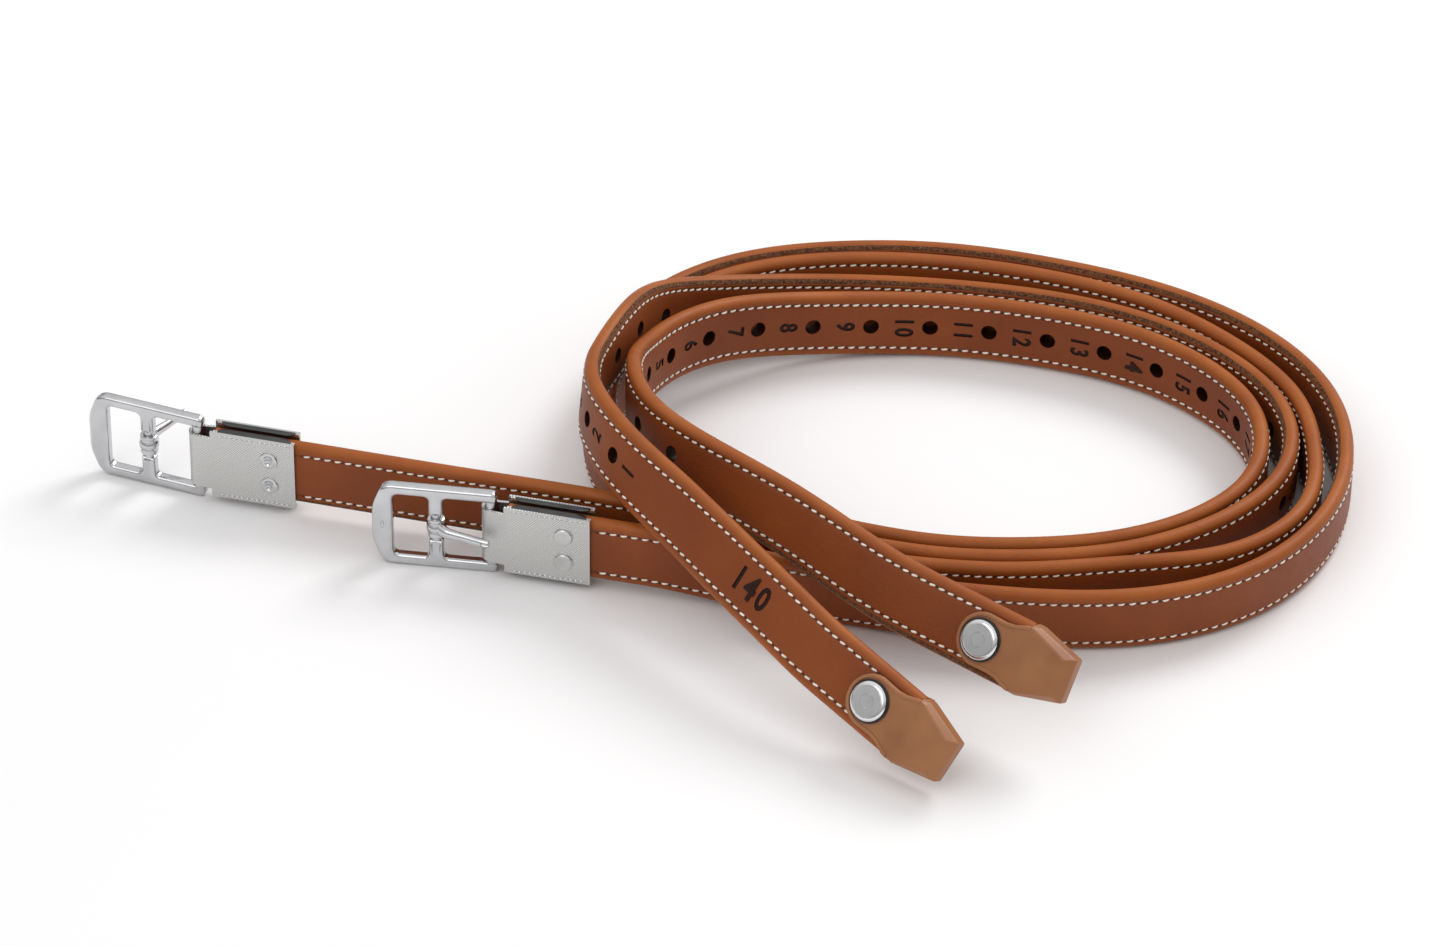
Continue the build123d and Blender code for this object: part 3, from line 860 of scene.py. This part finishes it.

# %% [markdown]
# ### One cut for everything
# The more than fifty punches and figures of a strap are joined and taken out of its skin in a
# single boolean, which is quicker and cleaner than one for each. The walls of the cut take the
# cutter's dark, burnished finish, which inside the holes is also painted shade.

# %% Cutting
def cut_strap(strap):
    """Punches and stamps a strap's skin, and hands it to the frame as the leather wrap."""
    piece = skins[strap.name]
    cutters = []
    for k in range(hole_count):
        distance = first_hole + hole_pitch * k
        cutters.append(lay(copy_of(round_punch), strap.matrix(distance)))
        cutters += hole_number(strap, distance - number_before_hole, k + 1)
    cutters += size_number(strap, size_place)
    tool = joined(cutters, "tool")
    apply_modifier(piece, "BOOLEAN", object=tool, operation="DIFFERENCE", solver="EXACT",
                   material_mode="TRANSFER")
    bpy.data.objects.remove(tool)
    smooth(piece, 40)
    print(piece.name, "faces", len(piece.data.polygons))
    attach(piece, "root")
    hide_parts(strap.name + "_leather_wrap")


for strap in straps.values():
    cut_strap(strap)
for model in [round_punch, *stamps.values()]:
    bpy.data.objects.remove(model)

# %% [markdown]
# ## Stitching
# The seam is a lockstitch in thick thread: on each face, every stitch is a short bead that rises
# out of one needle hole and dives into the next, lying a little slantwise in its channel. There
# are over three thousand, so one bead of a few dozen faces is worked out as a shape and repeated
# along both rows by its numbers, which is much quicker than objects of their own.

# %% One bead of thread
stitch_slant = radians(9)


def bead():
    """Places and faces of one stitch, 2.35 mm long, along x, in millimetres."""
    sides, stations = 6, [(-1.0, 0.25, -0.34), (-0.62, 0.86, -0.04), (0.0, 1.0, 0.05)]
    stations += [(-x, r, z) for x, r, z in reversed(stations[:2])]
    places = [
        (1.18 * x, 0.36 * r * cos(2 * pi * k / sides), z + 0.27 * r * sin(2 * pi * k / sides))
        for x, r, z in stations for k in range(sides)
    ]
    faces = []
    for start in range(0, (len(stations) - 1) * sides, sides):
        for k in range(sides):
            here, beside = start + k, start + (k + 1) % sides
            faces.append((here, beside, beside + sides, here + sides))
    faces.append(tuple(range(sides))[::-1])
    faces.append(tuple(range((len(stations) - 1) * sides, len(stations) * sides)))
    return np.array(places), faces


def slanted(places):
    x, y, z = places.T
    turned_x = x * cos(stitch_slant) - y * sin(stitch_slant)
    return np.array([turned_x, x * sin(stitch_slant) + y * cos(stitch_slant), z]).T


shape, shape_faces = bead()
turned = slanted(shape)
print("faces in a stitch", len(shape_faces))

# %% [markdown]
# ### Rows of stitches
# The rows run from beside the round end of the tip's tab to the sleeve, on the numbered face and
# on the back. A row that went by the curve alone would lean in the bends, so each stitch takes
# the strap's axes at its own place.

# %% Rows of stitches
def stitching(strap, side, node):
    """Both rows on one side of a strap: 1 is its numbered face, -1 its back."""
    places, faces = [], []
    first = int((tab_length - 4.0) / stitch_pitch)
    last = int((strap.length - sleeve_length + 0.5) / stitch_pitch)
    seat = strap_thickness / 2 - 0.14
    for k in range(first, last):
        middle, along, across, out = strap.frame((k + 0.5) * stitch_pitch)
        axes = np.array([along, across * side, out * side])
        for row in (stitch_row, -stitch_row):
            base = len(places)
            spot = middle + across * row + out * side * seat
            places += list((spot + turned @ axes) * MM)
            faces += [tuple(base + i for i in face) for face in shape_faces]
    piece = mesh_piece(node + "_beads", places, faces, [thread])
    smooth(piece, 60)
    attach(piece, "root")
    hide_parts(node)
    return piece


for name, strap in straps.items():
    for side, word in ((1, "face"), (-1, "back")):
        made = stitching(strap, side, name + "_" + word + "_stitching")
        print(made.name, "stitches", len(made.data.polygons) // len(shape_faces))

# %% [markdown]
# ## Turned pieces
# Caps, rings, rivets and the tongue's collar are round. Each is drawn as half of its profile and
# turned with a Screw modifier, as on a lathe. A cylinder with bevels would give the round form,
# but not the fine steps and hollows that catch the light.

# %% Lathe
def turned_piece(name, profile, finish, steps=48):
    """A closed round piece from (radius, height) places, on its own axis."""
    edges = [(k, k + 1) for k in range(len(profile) - 1)]
    piece = mesh_piece(name, [(r, 0.0, h) for r, h in profile], [], [], edges)
    apply_modifier(piece, "SCREW", steps=steps, render_steps=steps, use_merge_vertices=True,
                   merge_threshold=0.001, use_smooth_shade=True)
    apply_modifier(piece, "WELD", merge_threshold=0.001)
    face_outwards(piece)
    return coat(piece, finish)


print("a lathe turn of 48 steps is", 360 / 48, "degrees a step")

# %% [markdown]
# ## Stud caps and rings
# A stud holds the tip's two tabs together through the leather. A plain chrome cap with two fine
# turned rings sits on a black ring, on each face. Both are turned, and their rims are rounded so
# that they show a bright line.

# %% Studs
stud_setback = 13.0
sheet_gap = 0.15  # between the leather and what is closed round it
tab_top = strap_thickness / 2 + sheet_gap + 1.5 + 0.05
cap_profile = [
    (0.0, 0.52), (2.05, 0.52), (2.12, 0.40), (2.3, 0.40), (2.37, 0.52),
    (4.6, 0.50), (4.66, 0.40), (4.82, 0.40), (4.9, 0.49), (5.3, 0.44), (5.7, 0.22), (6.0, -0.2),
    (6.0, -0.75), (2.1, -0.75), (0.0, -0.75),
]
ring_profile = [
    (5.4, 0.0), (6.45, 0.0), (6.6, 0.16), (6.6, 0.42), (6.4, 0.56), (6.05, 0.5), (5.4, 0.5),
    (5.4, 0.0),
]


def studs(strap):
    """Caps and rings on both faces of a strap's tip, each modelled once."""
    face = strap.matrix(stud_setback)
    for profile, finish, height, node, slot in (
        (cap_profile, cap_chrome, tab_top + 1.3, "stud_caps", "chrome"),
        (ring_profile, black_ring, tab_top, "stud_rings", "black"),
    ):
        model = turned_piece(node, profile, finish)
        pieces = copies(model, [base @ raised(height) for base in (face, flipped(face))])
        piece = joined(pieces, strap.name + "_" + node + "_turned")
        smooth(piece, 30)
        print(piece.name, "faces", len(piece.data.polygons))
        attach(piece, "root")
        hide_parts(strap.name + "_" + node)


for strap in straps.values():
    studs(strap)

# %% [markdown]
# ## Flat outlines with round corners
# The tip and the buckle are thick plates with soft edges. Their outlines are lists of corners,
# each with its own radius; a filled curve with a bevel gives the plate its thickness and its
# rounded rim in one step.

# %% Rounded outline and plate
def rounded(corners, steps=6):
    """Points of a closed outline whose corners (x, y, radius) are arcs."""
    points = []
    for k, (x, y, radius) in enumerate(corners):
        here = np.array([x, y])
        before = np.array(corners[k - 1][:2]) - here
        after = np.array(corners[(k + 1) % len(corners)][:2]) - here
        before, after = before / np.linalg.norm(before), after / np.linalg.norm(after)
        half = np.arccos(np.clip(before @ after, -1, 1)) / 2
        if radius == 0:
            points.append(here)
            continue
        middle = here + (before + after) / np.linalg.norm(before + after) * radius / sin(half)
        start = here + before * radius / np.tan(half) - middle
        end = here + after * radius / np.tan(half) - middle
        sweep = np.arctan2(start[0] * end[1] - start[1] * end[0], start @ end)
        for s in range(steps + 1):
            a = sweep * s / steps
            turn = np.array([[cos(a), -sin(a)], [sin(a), cos(a)]])
            points.append(middle + turn @ start)
    return points


def plate(name, outlines, half_thickness, edge, finish, resolution=4):
    """A filled flat curve with a rounded rim, as a mesh; outlines after the first are holes."""
    curve = bpy.data.curves.new(name, "CURVE")
    curve.dimensions, curve.fill_mode = "2D", "BOTH"
    for outline in outlines:
        spline = curve.splines.new("POLY")
        spline.points.add(len(outline) - 1)
        for point, (x, y) in zip(spline.points, outline):
            point.co = (x, y, 0.0, 1.0)
        spline.use_cyclic_u = True
    curve.bevel_depth, curve.bevel_resolution = edge, resolution
    curve.extrude, curve.offset = half_thickness - edge, -edge
    only(placed(name, curve))
    bpy.ops.object.convert(target="MESH")
    piece = bpy.context.object
    apply_modifier(piece, "WELD", merge_threshold=0.004)
    return coat(piece, finish)


square = [(0, 0, 1), (4, 0, 1), (4, 4, 1), (0, 4, 1)]
print("a square with round corners has", len(rounded(square)), "points")

# %% [markdown]
# ## Moulded tips
# The tip is one moulding: a blunt nose beyond the leather, and on each face a tab with a round
# end that carries the stud. A low rim runs round the tab, and the nose slopes to its edges. The
# outlines are worked out first: the tab's flares are hollow, and its end follows the stud.

# %% Outlines of the tip
def tab_rim(inset):
    """Round end at the stud, then hollow flares out to the shoulders, from top to bottom."""
    radius = 8.4 - inset
    flare = [(0.6, 10.35), (-1.0, 10.1), (-2.6, 9.35), (-4.6, 8.6), (-7.4, 8.2), (-10.2, 8.25)]
    upper = [(x, y - inset) for x, y in flare]
    turn = [radians(96 + 168 * k / 20) for k in range(21)]
    arc = [(8.5 - tab_length + radius * cos(a), radius * sin(a)) for a in turn]
    return upper + arc + [(x, -y) for x, y in reversed(upper)]


rim = tab_rim(0.0)
print("tab outline points", len(rim), "reaching back to", round(min(x for x, _ in rim), 2))

# %% [markdown]
# ### Nose, tabs and rims together
# The nose is a blunt wedge whose slopes run round both faces and whose edges a bevel softens. Each
# tab is a thin plate and its rim a narrower one on top. Joined, they read as one moulding, since
# each stands a little way inside the next.

# %% Tips
def nose(half):
    """Blunt wedge beyond the leather: broad slopes round both faces, then softened edges."""
    full = [(0.1, -10.9), (2.6, -10.9), (17.0, -6.9), (17.0, 6.9), (2.6, 10.9), (0.1, 10.9)]
    flat = [(0.1, -10.1), (2.2, -9.9), (13.9, -5.7), (13.9, 5.7), (2.2, 9.9), (0.1, 10.1)]
    levels = ((flat, -half), (full, -half + 2.3), (full, half - 2.3), (flat, half))
    places = [(x, y, z) for outline, z in levels for x, y in outline]
    corners = len(full)
    faces = []
    for start in range(0, (len(levels) - 1) * corners, corners):
        for k in range(corners):
            here, beside = start + k, start + (k + 1) % corners
            faces.append((here, beside, beside + corners, here + corners))
    faces += [tuple(range(corners))[::-1], tuple(range(len(places) - corners, len(places)))]
    piece = mesh_piece("nose", places, faces, [tip_plastic])
    apply_modifier(piece, "BEVEL", width=0.45, segments=4, limit_method="ANGLE")
    return piece


def tip(strap):
    """Nose, then on each face a tab that runs into it, and a low rim on the tab."""
    half = tab_top - 0.05
    pieces = [nose(half)]
    for side in (1, -1):
        root = [(2.6, -10.0), (2.6, 10.0)]
        tab = plate("tab", [tab_rim(0.0) + root], 0.74, 0.5, tip_plastic)
        pieces.append(lay(tab, raised(side * (half - 0.75))))
        band = plate("rim", [tab_rim(0.05) + tab_rim(1.25)[::-1]], 0.42, 0.36, tip_plastic)
        pieces.append(lay(band, raised(side * (half - 0.02))))
    piece = coat(joined(pieces, strap.name + "_moulded_tip_smooth"), tip_plastic)
    lay(piece, strap.matrix(0.0))
    smooth(piece, 50)
    apply_modifier(piece, "WEIGHTED_NORMAL", keep_sharp=True)
    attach(piece, "root")
    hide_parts(strap.name + "_moulded_tip")
    print(piece.name, "faces", len(piece.data.polygons))


for strap in straps.values():
    tip(strap)

# %% [markdown]
# ## Steel sleeves and rivets
# The folded sleeve keeps its CAD shape and gets its knurled finish. Its two rivets are modelled
# in both of their ends: a turned flat head on the numbered face, and on the back a hollow end
# that was rolled over to close it.

# %% Sleeves and rivets
rivet_flat = [
    (0.0, 0.66), (0.35, 0.62), (1.5, 0.72), (2.3, 0.8), (2.7, 0.74), (2.9, 0.5), (2.9, 0.0),
    (1.5, 0.0), (1.5, -1.0), (0.0, -1.0),
]
rivet_rolled = [
    (0.0, 0.16), (0.5, 0.2), (0.95, 0.5), (1.25, 0.78), (1.75, 0.84), (2.15, 0.56), (2.45, 0.5),
    (2.75, 0.44), (2.9, 0.2), (2.9, 0.0), (1.5, 0.0), (1.5, -1.0), (0.0, -1.0),
]
sheet_thickness = 0.9
sleeve_face = strap_thickness / 2 + sheet_gap + sheet_thickness


def sleeve_rivets(strap, end):
    """Two rivets, one above the other, with their two different ends."""
    rivets = []
    for profile, base in ((rivet_flat, end), (rivet_rolled, flipped(end))):
        model = turned_piece("rivet", profile, rivet_steel)
        spots = [(sleeve_length - 8.2, across, sleeve_face + 0.03) for across in (4.7, -4.7)]
        rivets += copies(model, [base @ Matrix.Translation(spot) for spot in spots])
    piece = joined(rivets, strap.name + "_sleeve_rivets_turned")
    smooth(piece, 30)
    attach(piece, "root")
    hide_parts(strap.name + "_sleeve_rivets")
    print(piece.name, "faces", len(piece.data.polygons))


for strap in straps.values():
    sleeve_rivets(strap, strap.matrix(strap.length))
    sleeve = frame["nodes"][strap.name + "_steel_sleeve"]
    sleeve.material_slots[0].material = sleeve_steel

# %% [markdown]
# ### Folded flanges
# The sleeve's long edges are bent over the edges of the strap, and the fold is burnished darker
# than the knurled sheet. One flange is a strip of faces bent along a short profile, narrower
# towards its end, given the thickness of sheet and a fine bevel. The other three are its copies,
# two of them mirrored.

# %% Flanges
flange_start, flange_length = 1.3, 23.6
bend = [
    (10.9, 3.45), (11.45, 3.3), (11.85, 2.85), (12.0, 2.3), (12.05, 1.7), (12.0, 1.2),
    (11.95, 0.8),
]
pinch = [0.0, 0.0, 0.0, 0.1, 0.4, 1.1, 2.6]  # how far each row of the bend stops short


def flange_model():
    """One flange on the far edge of the numbered face, from (across, out) places."""
    steps = 8
    places, faces = [], []
    for (across, out), trim in zip(bend, pinch):
        for k in range(steps + 1):
            along = flange_start + trim + (flange_length - 2 * trim) * k / steps
            places.append((along, across, out))
    for row in range(len(bend) - 1):
        for k in range(steps):
            corner = row * (steps + 1) + k
            faces.append((corner, corner + 1, corner + steps + 2, corner + steps + 1))
    piece = mesh_piece("flange", places, faces, [burnished_fold])
    apply_modifier(piece, "SOLIDIFY", thickness=0.5, offset=0.0)
    apply_modifier(piece, "BEVEL", width=0.12, segments=2, limit_method="ANGLE")
    return piece


def flanges(strap, end):
    """One flange and its three copies, along both edges on both faces."""
    mirrored = Matrix.Diagonal((1.0, -1.0, 1.0, 1.0))
    places = [base @ side for base in (end, flipped(end)) for side in (Matrix(), mirrored)]
    piece = joined(copies(flange_model(), places), strap.name + "_sleeve_flanges")
    face_outwards(piece)
    smooth(piece, 40)
    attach(piece, "root")
    print(piece.name, "faces", len(piece.data.polygons))


for strap in straps.values():
    flanges(strap, strap.matrix(strap.length))

# %% [markdown]
# ### Punched pips
# A row of small punched pips runs along each folded edge. One pip is a flattened round dome that
# stands half out of the sheet, copied fourteen times along each of the four edges.

# %% Pips
pip_count, pip_start, pip_pitch, pip_across = 14, 2.4, 1.6, 11.15


def sleeve_pips(strap, end):
    """Rows of pips along the four folded edges of a sleeve."""
    bpy.ops.mesh.primitive_uv_sphere_add(segments=12, ring_count=8, radius=0.5)
    model = coat(bpy.context.object, cap_chrome)
    lay(model, Matrix.Diagonal((0.9, 0.75, 0.75, 1.0)))
    spots = [
        (pip_start + pip_pitch * k, across, sleeve_face - 0.12)
        for k in range(pip_count) for across in (pip_across, -pip_across)
    ]
    places = [
        base @ Matrix.Translation(spot) for spot in spots for base in (end, flipped(end))
    ]
    piece = joined(copies(model, places), strap.name + "_sleeve_pips")
    smooth(piece, 60)
    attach(piece, "root")
    print(piece.name, "pips", len(places))


for strap in straps.values():
    sleeve_pips(strap, strap.matrix(strap.length))

# %% [markdown]
# ## Where the buckles turn
# A buckle frame turns about its end bar in the sleeve's fold, and the tongue about the neck of the
# centre bar. The frame's joints hold both places and the axis, so the buckle's plane is read from
# them and not guessed: x runs to the strap, y along the bar, z out of the numbered face.

# %% Planes of the hinges
def buckle_matrix(name):
    """At the end bar: x to the strap, y along the bar, z out of the numbered face."""
    bar = Vector(joints[name + "_buckle_hinge"]["pos_m"])
    neck = Vector(joints[name + "_tongue_hinge"]["pos_m"])
    side = 1 if name == "outer" else -1
    along = (bar - neck).normalized()
    up = Vector(joints[name + "_buckle_hinge"]["axis"]).normalized() * side
    out = along.cross(up)
    axes = Matrix((along, up, out)).transposed().to_4x4()
    return Matrix.Translation(bar) @ axes @ Matrix.Scale(MM, 4)


neck_place = -17.0
open_angle = {"outer": 8.0, "inner": 64.0}
for name in straps:
    print(name, "buckle turns at", [round(v, 4) for v in buckle_matrix(name).translation])

# %% [markdown]
# ### Buckle frames
# A buckle is one casting: a bow, two side bars, a centre bar with a thinner neck for the tongue,
# and a round end bar. It is drawn as one outline that leaves out both slots and the neck, so that
# its rim is rounded all the way round, and the two round bars are added. A small dent marks the
# middle of the bow.

# %% Frames
def bar_piece(name, radius, height, where):
    """A round bar across the buckle, under its side bars at both ends."""
    bpy.ops.mesh.primitive_cylinder_add(vertices=32, radius=radius, depth=height)
    piece = coat(bpy.context.object, buckle_steel)
    piece.name = name
    return lay(piece, Matrix.Translation((where, 0, 0)) @ Matrix.Rotation(radians(90), 4, "X"))


def cut_by(piece, tool):
    """Takes a tool's shape out of a piece, and removes the tool."""
    apply_modifier(piece, "BOOLEAN", object=tool, operation="DIFFERENCE", solver="EXACT")
    bpy.data.objects.remove(tool)


def buckle(name):
    """The frame, in its own plane: its end bar at 0, its bow at the far end, and one dent."""
    top, inside, near, far = 14.8, 11.3, 1.9, -36.4
    slot_far, bar_near, bar_far, neck = -30.2, -14.8, -19.2, 4.6
    outline = [
        (near, top, 1.8), (far + 3.0, top, 4.5), (far - 0.2, 6.5, 14.0), (far - 0.2, -6.5, 14.0),
        (far + 3.0, -top, 4.5), (near, -top, 1.8), (near, -inside, 1.0), (bar_near, -inside, 1.6),
        (bar_near, -neck, 0.5), (bar_far, -neck, 0.5), (bar_far, -inside, 1.6),
        (slot_far, -inside, 1.8), (slot_far, inside, 1.8), (bar_far, inside, 1.6),
        (bar_far, neck, 0.5), (bar_near, neck, 0.5), (bar_near, inside, 1.6), (near, inside, 1.0),
    ]
    body = plate("body", [rounded(outline)], 1.8, 1.15, buckle_steel, 5)
    bars = [bar_piece("bar", 2.0, 23.6, 0.0), bar_piece("neck", 1.6, 9.8, neck_place)]
    bpy.ops.mesh.primitive_uv_sphere_add(segments=24, ring_count=12, radius=1.0)
    spot = Matrix.Translation((far + 3.0, 0, 2.2))
    cut_by(body, lay(bpy.context.object, spot @ Matrix.Diagonal((0.75, 1.9, 0.8, 1.0))))
    piece = joined([body] + bars, name + "_buckle_frame_cast")
    lay(piece, buckle_matrix(name))
    smooth(piece, 40)
    apply_modifier(piece, "WEIGHTED_NORMAL", keep_sharp=True)
    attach(piece, name + "_buckle")
    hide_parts(name + "_buckle_frame")
    print(piece.name, "faces", len(piece.data.polygons))


for name in straps:
    buckle(name)

# %% [markdown]
# ### Tongues
# The tongue is a bent, tapering prong on a collar that turns on the neck. The collar is turned,
# with a raised rim at each end and a swell in the middle. The prong is a bevelled curve with its
# own radius at each point, a little wider than it is thick, notched at its end. It is modelled
# closed and then opened to the angle at which it lies.

# %% Collar and prong
def prong_model():
    """A prong that rises over the loop of the buckle and tapers towards its notched end."""
    curve = bpy.data.curves.new("prong", "CURVE")
    curve.dimensions = "3D"
    curve.bevel_depth, curve.bevel_resolution, curve.resolution_u = 1.0, 5, 10
    curve.use_fill_caps = True
    spline = curve.splines.new("NURBS")
    course = [
        (1.2, 1.0, 1.75), (3.2, 2.6, 1.6), (6.0, 3.1, 1.35), (9.5, 3.4, 1.2), (13.5, 4.1, 1.15),
        (16.4, 4.45, 1.25), (17.9, 4.5, 1.1),
    ]
    spline.points.add(len(course) - 1)
    for point, (x, z, radius) in zip(spline.points, course):
        point.co = (x, 0.0, z, 1.0)
        point.radius = radius
    spline.order_u, spline.use_endpoint_u = 3, True
    only(placed("prong", curve))
    bpy.ops.object.convert(target="MESH")
    prong = coat(bpy.context.object, buckle_steel)
    apply_modifier(prong, "WELD", merge_threshold=0.01)
    lay(prong, Matrix.Diagonal((1.0, 1.25, 1.0, 1.0)))
    bpy.ops.mesh.primitive_cylinder_add(vertices=24, radius=0.75, depth=4.0)
    spot = Matrix.Translation((17.6, 0, 5.5))
    cut_by(prong, lay(bpy.context.object, spot @ Matrix.Rotation(radians(90), 4, "Y")))
    return prong


def tongue(name):
    """Collar and prong, modelled closed and opened about the neck."""
    rims = [
        (1.72, -3.4), (2.3, -3.4), (2.62, -3.2), (2.75, -2.7), (2.55, -2.2), (2.5, -1.6),
        (2.62, -1.3), (3.0, -0.9), (3.1, 0.0), (3.0, 0.9), (2.62, 1.3), (2.5, 1.6), (2.55, 2.2),
        (2.75, 2.7), (2.62, 3.2), (2.3, 3.4), (1.72, 3.4), (1.72, -3.4),
    ]
    collar = turned_piece("collar", rims, buckle_steel, 40)
    lay(collar, Matrix.Rotation(radians(90), 4, "X"))
    pieces = [collar, prong_model()]
    piece = coat(joined(pieces, name + "_buckle_tongue_forged"), buckle_steel)
    turn = Matrix.Rotation(-radians(open_angle[name]), 4, "Y")
    lay(piece, buckle_matrix(name) @ Matrix.Translation((neck_place, 0, 0)) @ turn)
    smooth(piece, 40)
    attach(piece, name + "_tongue")
    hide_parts(name + "_buckle_tongue")
    print(piece.name, "faces", len(piece.data.polygons), "opened", open_angle[name], "degrees")


for name in straps:
    tongue(name)

# %% [markdown]
# ## Inner pieces
# The webbing core and the stud's post keep their CAD shapes, as they barely show. They still get
# what they are made of: flat woven nylon and turned steel.

# %% Webbing and posts
def webbing_finish():
    """Flat woven nylon, matt and grey-white, with threads 1.2 mm apart."""
    made, tree, shader = material("woven_nylon_webbing", Roughness=0.8)
    where = add(tree, "ShaderNodeTexCoord").outputs["Object"]
    squares = add(tree, "ShaderNodeTexChecker", {"Vector": where, "Scale": 1 / (1.2 * MM)})
    weave = squares.outputs["Fac"]
    tones = ramp(tree, weave, [(0.0, "#B7B0A0"), (1.0, "#CDC7B9")])
    tree.links.new(tones, shader.inputs["Base Color"])
    bump(tree, shader, weave, 0.1, 0.4)
    return made


webbing = webbing_finish()
for name in straps:
    frame["nodes"][name + "_webbing_core"].material_slots[0].material = webbing
    frame["nodes"][name + "_stud_post"].material_slots[0].material = rivet_steel
print("carried-over nodes finished with", webbing.name, "and", rivet_steel.name)

# %% [markdown]
# ## Floor and sky
# A product table has a pale seamless floor and light from all around. The floor is paper, almost
# white, and the sky is brighter overhead than at the sides, so that the metal has something dark
# to show along its edges.

# %% Studio
def studio():
    """A wide floor and a sky that is brightest overhead."""
    made, tree, shader = material("pale_paper_floor", Roughness=0.9, Specular_IOR_Level=0.1)
    where = add(tree, "ShaderNodeTexCoord").outputs["Object"]
    paper = ramp(tree, noise(tree, where, 260, 2.0), [(0.2, "#F1F0F0"), (0.8, "#F6F5F5")])
    tree.links.new(paper, shader.inputs["Base Color"])
    bpy.ops.mesh.primitive_plane_add(size=12.0, location=(0, 0, 0))
    floor = bpy.context.object
    floor.name = "floor"
    floor.data.materials.append(made)
    world = bpy.data.worlds.new("studio")
    world.use_nodes = True
    sky = world.node_tree
    ways = add(sky, "ShaderNodeTexCoord").outputs["Generated"]
    rise = add(sky, "ShaderNodeSeparateXYZ", {0: ways}).outputs["Z"]
    glow = ramp(sky, rise, [(0.0, 0.28), (0.25, 0.42), (0.62, 0.86), (1.0, 0.92)])
    sky.links.new(glow, sky.nodes["Background"].inputs[0])
    bpy.context.scene.world = world
    return floor


print("floor", list(studio().dimensions))

# %% [markdown]
# ## Lights
# One large soft light from the right and behind lays a soft shadow to the left and forwards, and
# shines along the folded edges. A wider, weaker one from the front left keeps the near faces of
# the leather from going dark. Large lights are used because small ones make hard shadows.

# %% Lights
def area_light(name, place, target, size, power):
    """A round lamp at a place, facing a target; size in metres and power in watts."""
    light = bpy.data.lights.new(name, "AREA")
    light.shape, light.size, light.energy = "DISK", size, power
    lamp = placed(name, light)
    lamp.location = place
    lamp.rotation_euler = (Vector(target) - Vector(place)).to_track_quat("-Z", "Y").to_euler()
    print(name, "at", place, "power", power)


area_light("key", (1.1, 1.15, 1.5), target=(0.03, 0.0, 0.0), size=1.0, power=20)
area_light("front_fill", (-0.9, -1.3, 1.6), target=(0.0, 0.0, 0.0), size=1.6, power=7)

# %% [markdown]
# ## Camera
# The camera looks down at the coil from the front with a long lens, from far enough away that the
# coil keeps its shape. It is aimed at the origin of the route, which is the coil's left end. The
# plain view transform keeps the floor as pale as its colour says.

# %% Camera
def camera(target, distance, elevation):
    lens = bpy.data.cameras.new("camera")
    lens.lens, lens.sensor_width, lens.clip_end = 181.6, 36.0, 50.0
    view = placed("camera", lens)
    away = Vector((0, -distance * cos(elevation), distance * sin(elevation)))
    view.location = target + away
    view.rotation_euler = (target - view.location).to_track_quat("-Z", "Y").to_euler()
    bpy.context.scene.camera = view
    print("camera at", [round(v, 3) for v in view.location])


route_origin = straps["outer"].shift * MM
aim = Vector((route_origin[0], route_origin[1], 0.0))
camera(aim, distance=2.25, elevation=radians(37))
bpy.context.scene.view_settings.view_transform = "Standard"

# %% [markdown]

# %% [markdown] ## Closing the scene Every new piece has been given the body it rides on.
